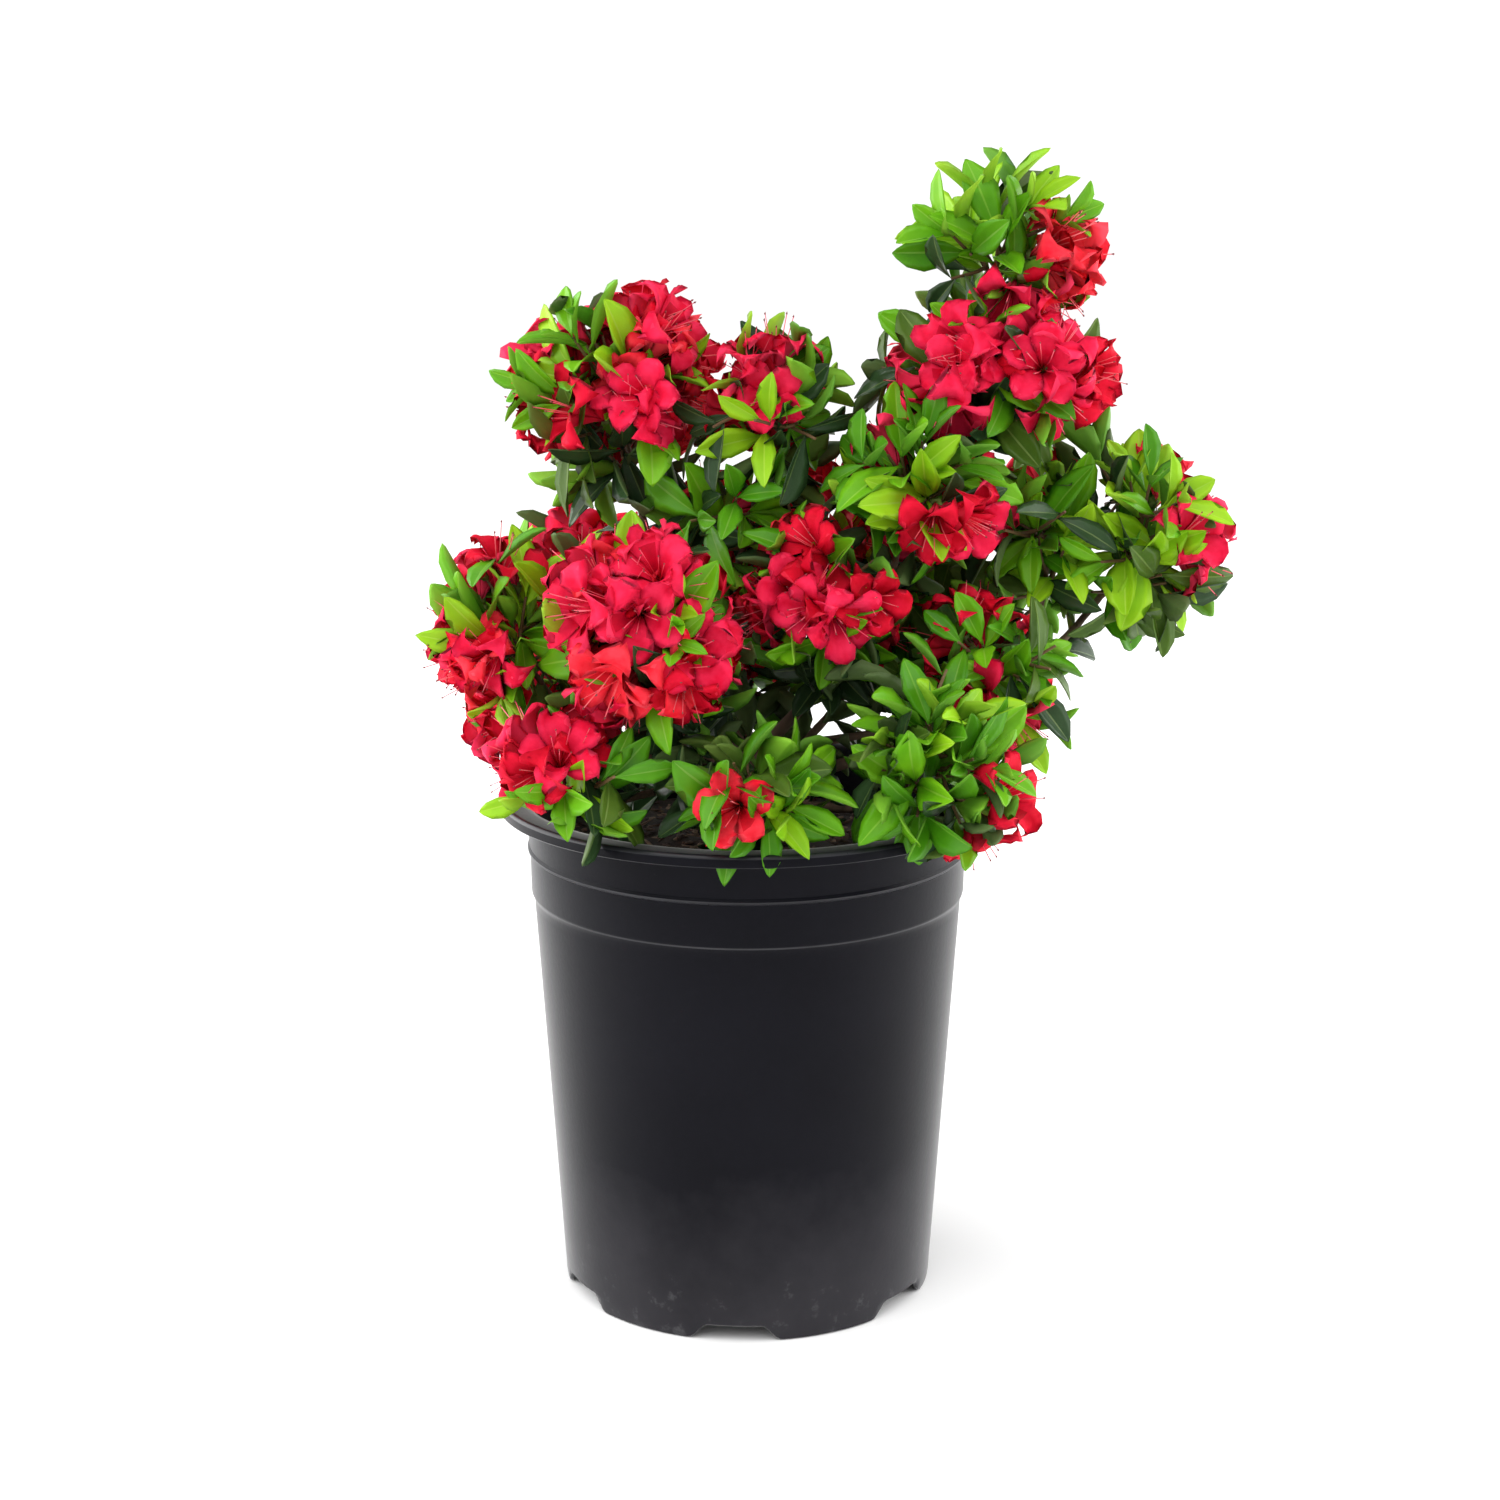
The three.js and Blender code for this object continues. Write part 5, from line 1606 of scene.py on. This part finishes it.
def leaf_finishes(tint):
    deep, light, gloss = LEAF_TINTS[tint]
    return {
        "Upper side": finish(f"leaf_{tint}_upper", (deep, light), gloss, 45, bump=0.25, bump_grain=420,
                             specular=0.2),
        "Rib": finish(f"leaf_{tint}_rib", (paler(light, 0.1), paler(light, 0.2)), gloss + 0.1, 45, bump=0.1,
                      specular=0.25),
        "Underside": finish(f"leaf_{tint}_under", (paler(deep, 0.12), paler(light, 0.16)), gloss + 0.2, 45,
                            bump=0.2, bump_grain=420, specular=0.15),
    }


# %% Deal the tints out by shoot
BRIGHT = {"top_crown", "right_inner", "right_tip", "left_front", "upper_left", "upper_mid", "left_far",
          "foot_left", "mid_right"}


def pick(names, shares, chance):
    """The first name whose share of the whole, added up, reaches the chance."""
    return next(name for name, share in zip(names, shares) if chance <= share)


def tint_of(mass, shoot, chance):
    if shoot["kind"] in ("spray", "tuft"):
        shares = (0.45, 0.85, 1) if mass["name"] in BRIGHT else (0.15, 0.7, 1)
        return pick(("young", "fresh", "green"), shares, chance)
    if shoot["kind"] == "older":
        return pick(("green", "old", "olive"), (0.25, 0.78, 1), chance)
    return pick(("fresh", "green", "old"), (0.4, 0.8, 1), chance)


def deal(kind, tints, seed, tint_for):
    """The organs of one kind by tint, dealt out shoot by shoot."""
    draw, dealt = np.random.default_rng(seed), {tint: [] for tint in tints}
    for mass, shoot in every_shoot:
        tint = tint_for(mass, shoot, draw.random())
        dealt[tint] += [organ for organ in shoot["organs"] if organ["kind"] == kind]
    return dealt


# %% Set the leaves down
dealt_leaves = deal("leaf", LEAF_TINTS, 55, tint_of)
dealt_leaves["old"] += bough_leaves
leaf_setter = setting_tree("Leaves on points", ["Upper side", "Rib", "Underside"])
for tint, organs in dealt_leaves.items():
    leaves = run_tree(organ_points(f"leaves_{tint}", organs, len(leaf_shapes)), leaf_setter,
                      {"Shapes": leaf_shelf, **leaf_finishes(tint)})
    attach(leaves, "root")
    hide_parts(*FOLIAGE_NODES)

# %% [markdown]
# ## Blossom tints
# The blossom is a clear red that leans to pink, deeper in the throat and paler on the backs of the petals.
# Trusses differ a little: some are crimson, some rose and some lean to coral.

# %% Finishes of the blossom
BLOSSOM_TINTS = dict(
    crimson=((0.52, 0.002, 0.014), (0.74, 0.008, 0.036)),
    rose=((0.70, 0.004, 0.036), (0.88, 0.026, 0.092)),
    coral=((0.78, 0.008, 0.024), (0.92, 0.045, 0.070)),
)


def blossom_finishes(tint):
    deep, light = BLOSSOM_TINTS[tint]
    throat = tuple(v * 0.6 for v in deep)
    return {
        "Petal face": finish(f"petal_{tint}", (deep, light), 0.6, 130, bump=0.4, bump_grain=300,
                             specular=0.06),
        "Throat": finish(f"throat_{tint}", (throat, deep), 0.6, 120, bump=0.2, specular=0.1),
        "Petal back": finish(f"petal_back_{tint}", (light, paler(light, 0.07, (0.95, 0.30, 0.38))), 0.6, 60,
                             bump=0.35, bump_grain=300, specular=0.06),
        "Thread": finish(f"stamen_{tint}", (light, paler(light, 0.3, (0.95, 0.5, 0.5))), 0.5, 90),
        "Anther": finish(f"anther_{tint}", ((0.20, 0.030, 0.035), (0.30, 0.060, 0.055)), 0.8, 200),
        "Calyx": finish(f"calyx_{tint}", ((0.10, 0.16, 0.025), (0.16, 0.21, 0.04)), 0.6, 120),
    }


# %% Deal the blossom out by truss
dealt_blossom = deal("flower", BLOSSOM_TINTS, 56, lambda mass, shoot, chance:
                     pick(BLOSSOM_TINTS, (0.42, 0.8, 1), chance))
print("flowers by tint:", {tint: len(organs) for tint, organs in dealt_blossom.items()})


# %% A few buds beside the flowers of some trusses
def buds_of(shoots):
    draw = seeded(977)
    buds = []
    for mass, shoot in shoots:
        blooms = any(organ["kind"] == "flower" for organ in shoot["organs"])
        if not blooms or draw() > 0.55:
            continue
        twig = shoot["organs"][0]
        axis = unit(twig["end"] - twig["start"])
        for _ in range(1 + int(draw() * 2)):
            along = tilted(axis, 0.2 + 0.9 * draw(), draw() * FULL_TURN)
            length = 11 + 7 * draw()
            tip = twig["end"] + along * length
            if in_space(mass, tip[None]) and not in_pot(tip[None]):
                buds.append(dict(kind="bud", at=twig["end"] - axis * 1.5, along=along, roll=0,
                                 radius=length))
    return buds


# %% Set the blossom and the buds down
blossom_labels = ["Petal face", "Throat", "Petal back", "Thread", "Anther", "Calyx"]
blossom_setter = setting_tree("Blossom on points", blossom_labels)
for tint, organs in dealt_blossom.items():
    blossom = run_tree(organ_points(f"blossom_{tint}", organs, len(flower_shapes)), blossom_setter,
                       {"Shapes": flower_shelf, **blossom_finishes(tint)})
    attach(blossom, "root")
    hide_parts(*FOLIAGE_NODES)
buds = run_tree(organ_points("blossom_buds", buds_of(every_shoot), len(bud_shapes)), blossom_setter,
                {"Shapes": bud_shelf, **blossom_finishes("crimson")})
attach(buds, "root")

# %% Clear the shelves
for collection in (chip_shelf, leaf_shelf, flower_shelf, bud_shelf):
    for piece in list(collection.objects):
        bpy.data.objects.remove(piece)
    bpy.data.collections.remove(collection)

# %% [markdown]
# ## Floor, light and camera
# The photograph is a studio picture on white. The floor is a wide pale sheet that rises far away, so that
# it fills the view. A pale sky gives the even light, and one wide sun from the front and the left leaves
# only a faint shadow. A soft box on each side shows as a pale streak in the satin wall of the pot. The
# camera looks down by as much as the ellipse of the pot's rim shows.

# %% A pale floor that rises all round, far away
pale_floor = finish("pale_floor", ((0.92, 0.92, 0.92), (0.94, 0.94, 0.94)), 0.8, 2, bump=0.0, specular=0.1)


def sweep_rings(reach=9000, rise=1500, drop=0.2):
    """A flat disc a little below the pot, a quarter turn upwards, and a wall."""
    rings = [(1, 0), (reach, 0)]
    for turn in np.linspace(0, math.pi / 2, 13)[1:]:
        rings.append((reach + rise * math.sin(turn), rise * (1 - math.cos(turn))))
    rings.append((reach + rise, 2.2 * rise))
    return [(radius, height - drop) for radius, height in rings]


floor = mesh_piece("studio_floor", *turned_body(sweep_rings(), 96, outward=False, lid=False),
                   material=pale_floor)
print("studio_floor:", len(floor.data.polygons), "faces")


# %% A wide sun
def soft_sun(name, strength, spread, elevation, azimuth):
    light = bpy.data.lights.new(name, "SUN")
    light.energy = strength
    light.angle = math.radians(spread)
    lamp = bpy.data.objects.new(name, light)
    lamp.rotation_euler = (math.radians(90 - elevation), 0, math.radians(azimuth))
    bpy.context.scene.collection.objects.link(lamp)


# %% Soft boxes beside the plant
def soft_box(name, side, power):
    """A wide light beside the plant, on the left at side -1 and on the right at 1."""
    light = bpy.data.lights.new(name, "AREA")
    light.shape = "RECTANGLE"
    light.size, light.size_y = 2.6, 1.7
    light.energy = power
    lamp = bpy.data.objects.new(name, light)
    lamp.location = (1.6 * side, 0.5, 0.85)
    lamp.rotation_euler = (math.pi / 2, 0, side * math.pi / 2)
    lamp.visible_camera = False
    bpy.context.scene.collection.objects.link(lamp)


soft_sun("key_light", 1.5, 60, 58, -24)
soft_box("box_left", -1, 48)
soft_box("box_right", 1, 44)

# %% A pale sky
sky = bpy.data.worlds.new("pale_sky")
sky.use_nodes = True
sky.node_tree.nodes["Background"].inputs["Color"].default_value = (1, 1, 1, 1)
sky.node_tree.nodes["Background"].inputs["Strength"].default_value = 0.65
bpy.context.scene.world = sky
bpy.context.scene.view_settings.view_transform = "Standard"

# %% The camera
PHOTO_WIDTH = 1500  # pixels, the photograph's side
SENSOR = 36
VIEW = dict(down=13.4, focal_in_pixels=2944, distance=1315, target=(1.1, 0, 246.6))
down = math.radians(VIEW["down"])
lens = bpy.data.cameras.new("camera")
lens.sensor_width = SENSOR
lens.lens = VIEW["focal_in_pixels"] / PHOTO_WIDTH * SENSOR
camera = bpy.data.objects.new("camera", lens)
back = np.array((0, -math.cos(down), math.sin(down)))
camera.location = (np.array(VIEW["target"]) + back * VIEW["distance"]) * MM
camera.rotation_euler = (math.pi / 2 - down, 0, 0)
bpy.context.scene.collection.objects.link(camera)
bpy.context.scene.camera = camera
print("camera:", round(lens.lens, 1), "mm lens,", VIEW["distance"], "mm from the plant's middle")
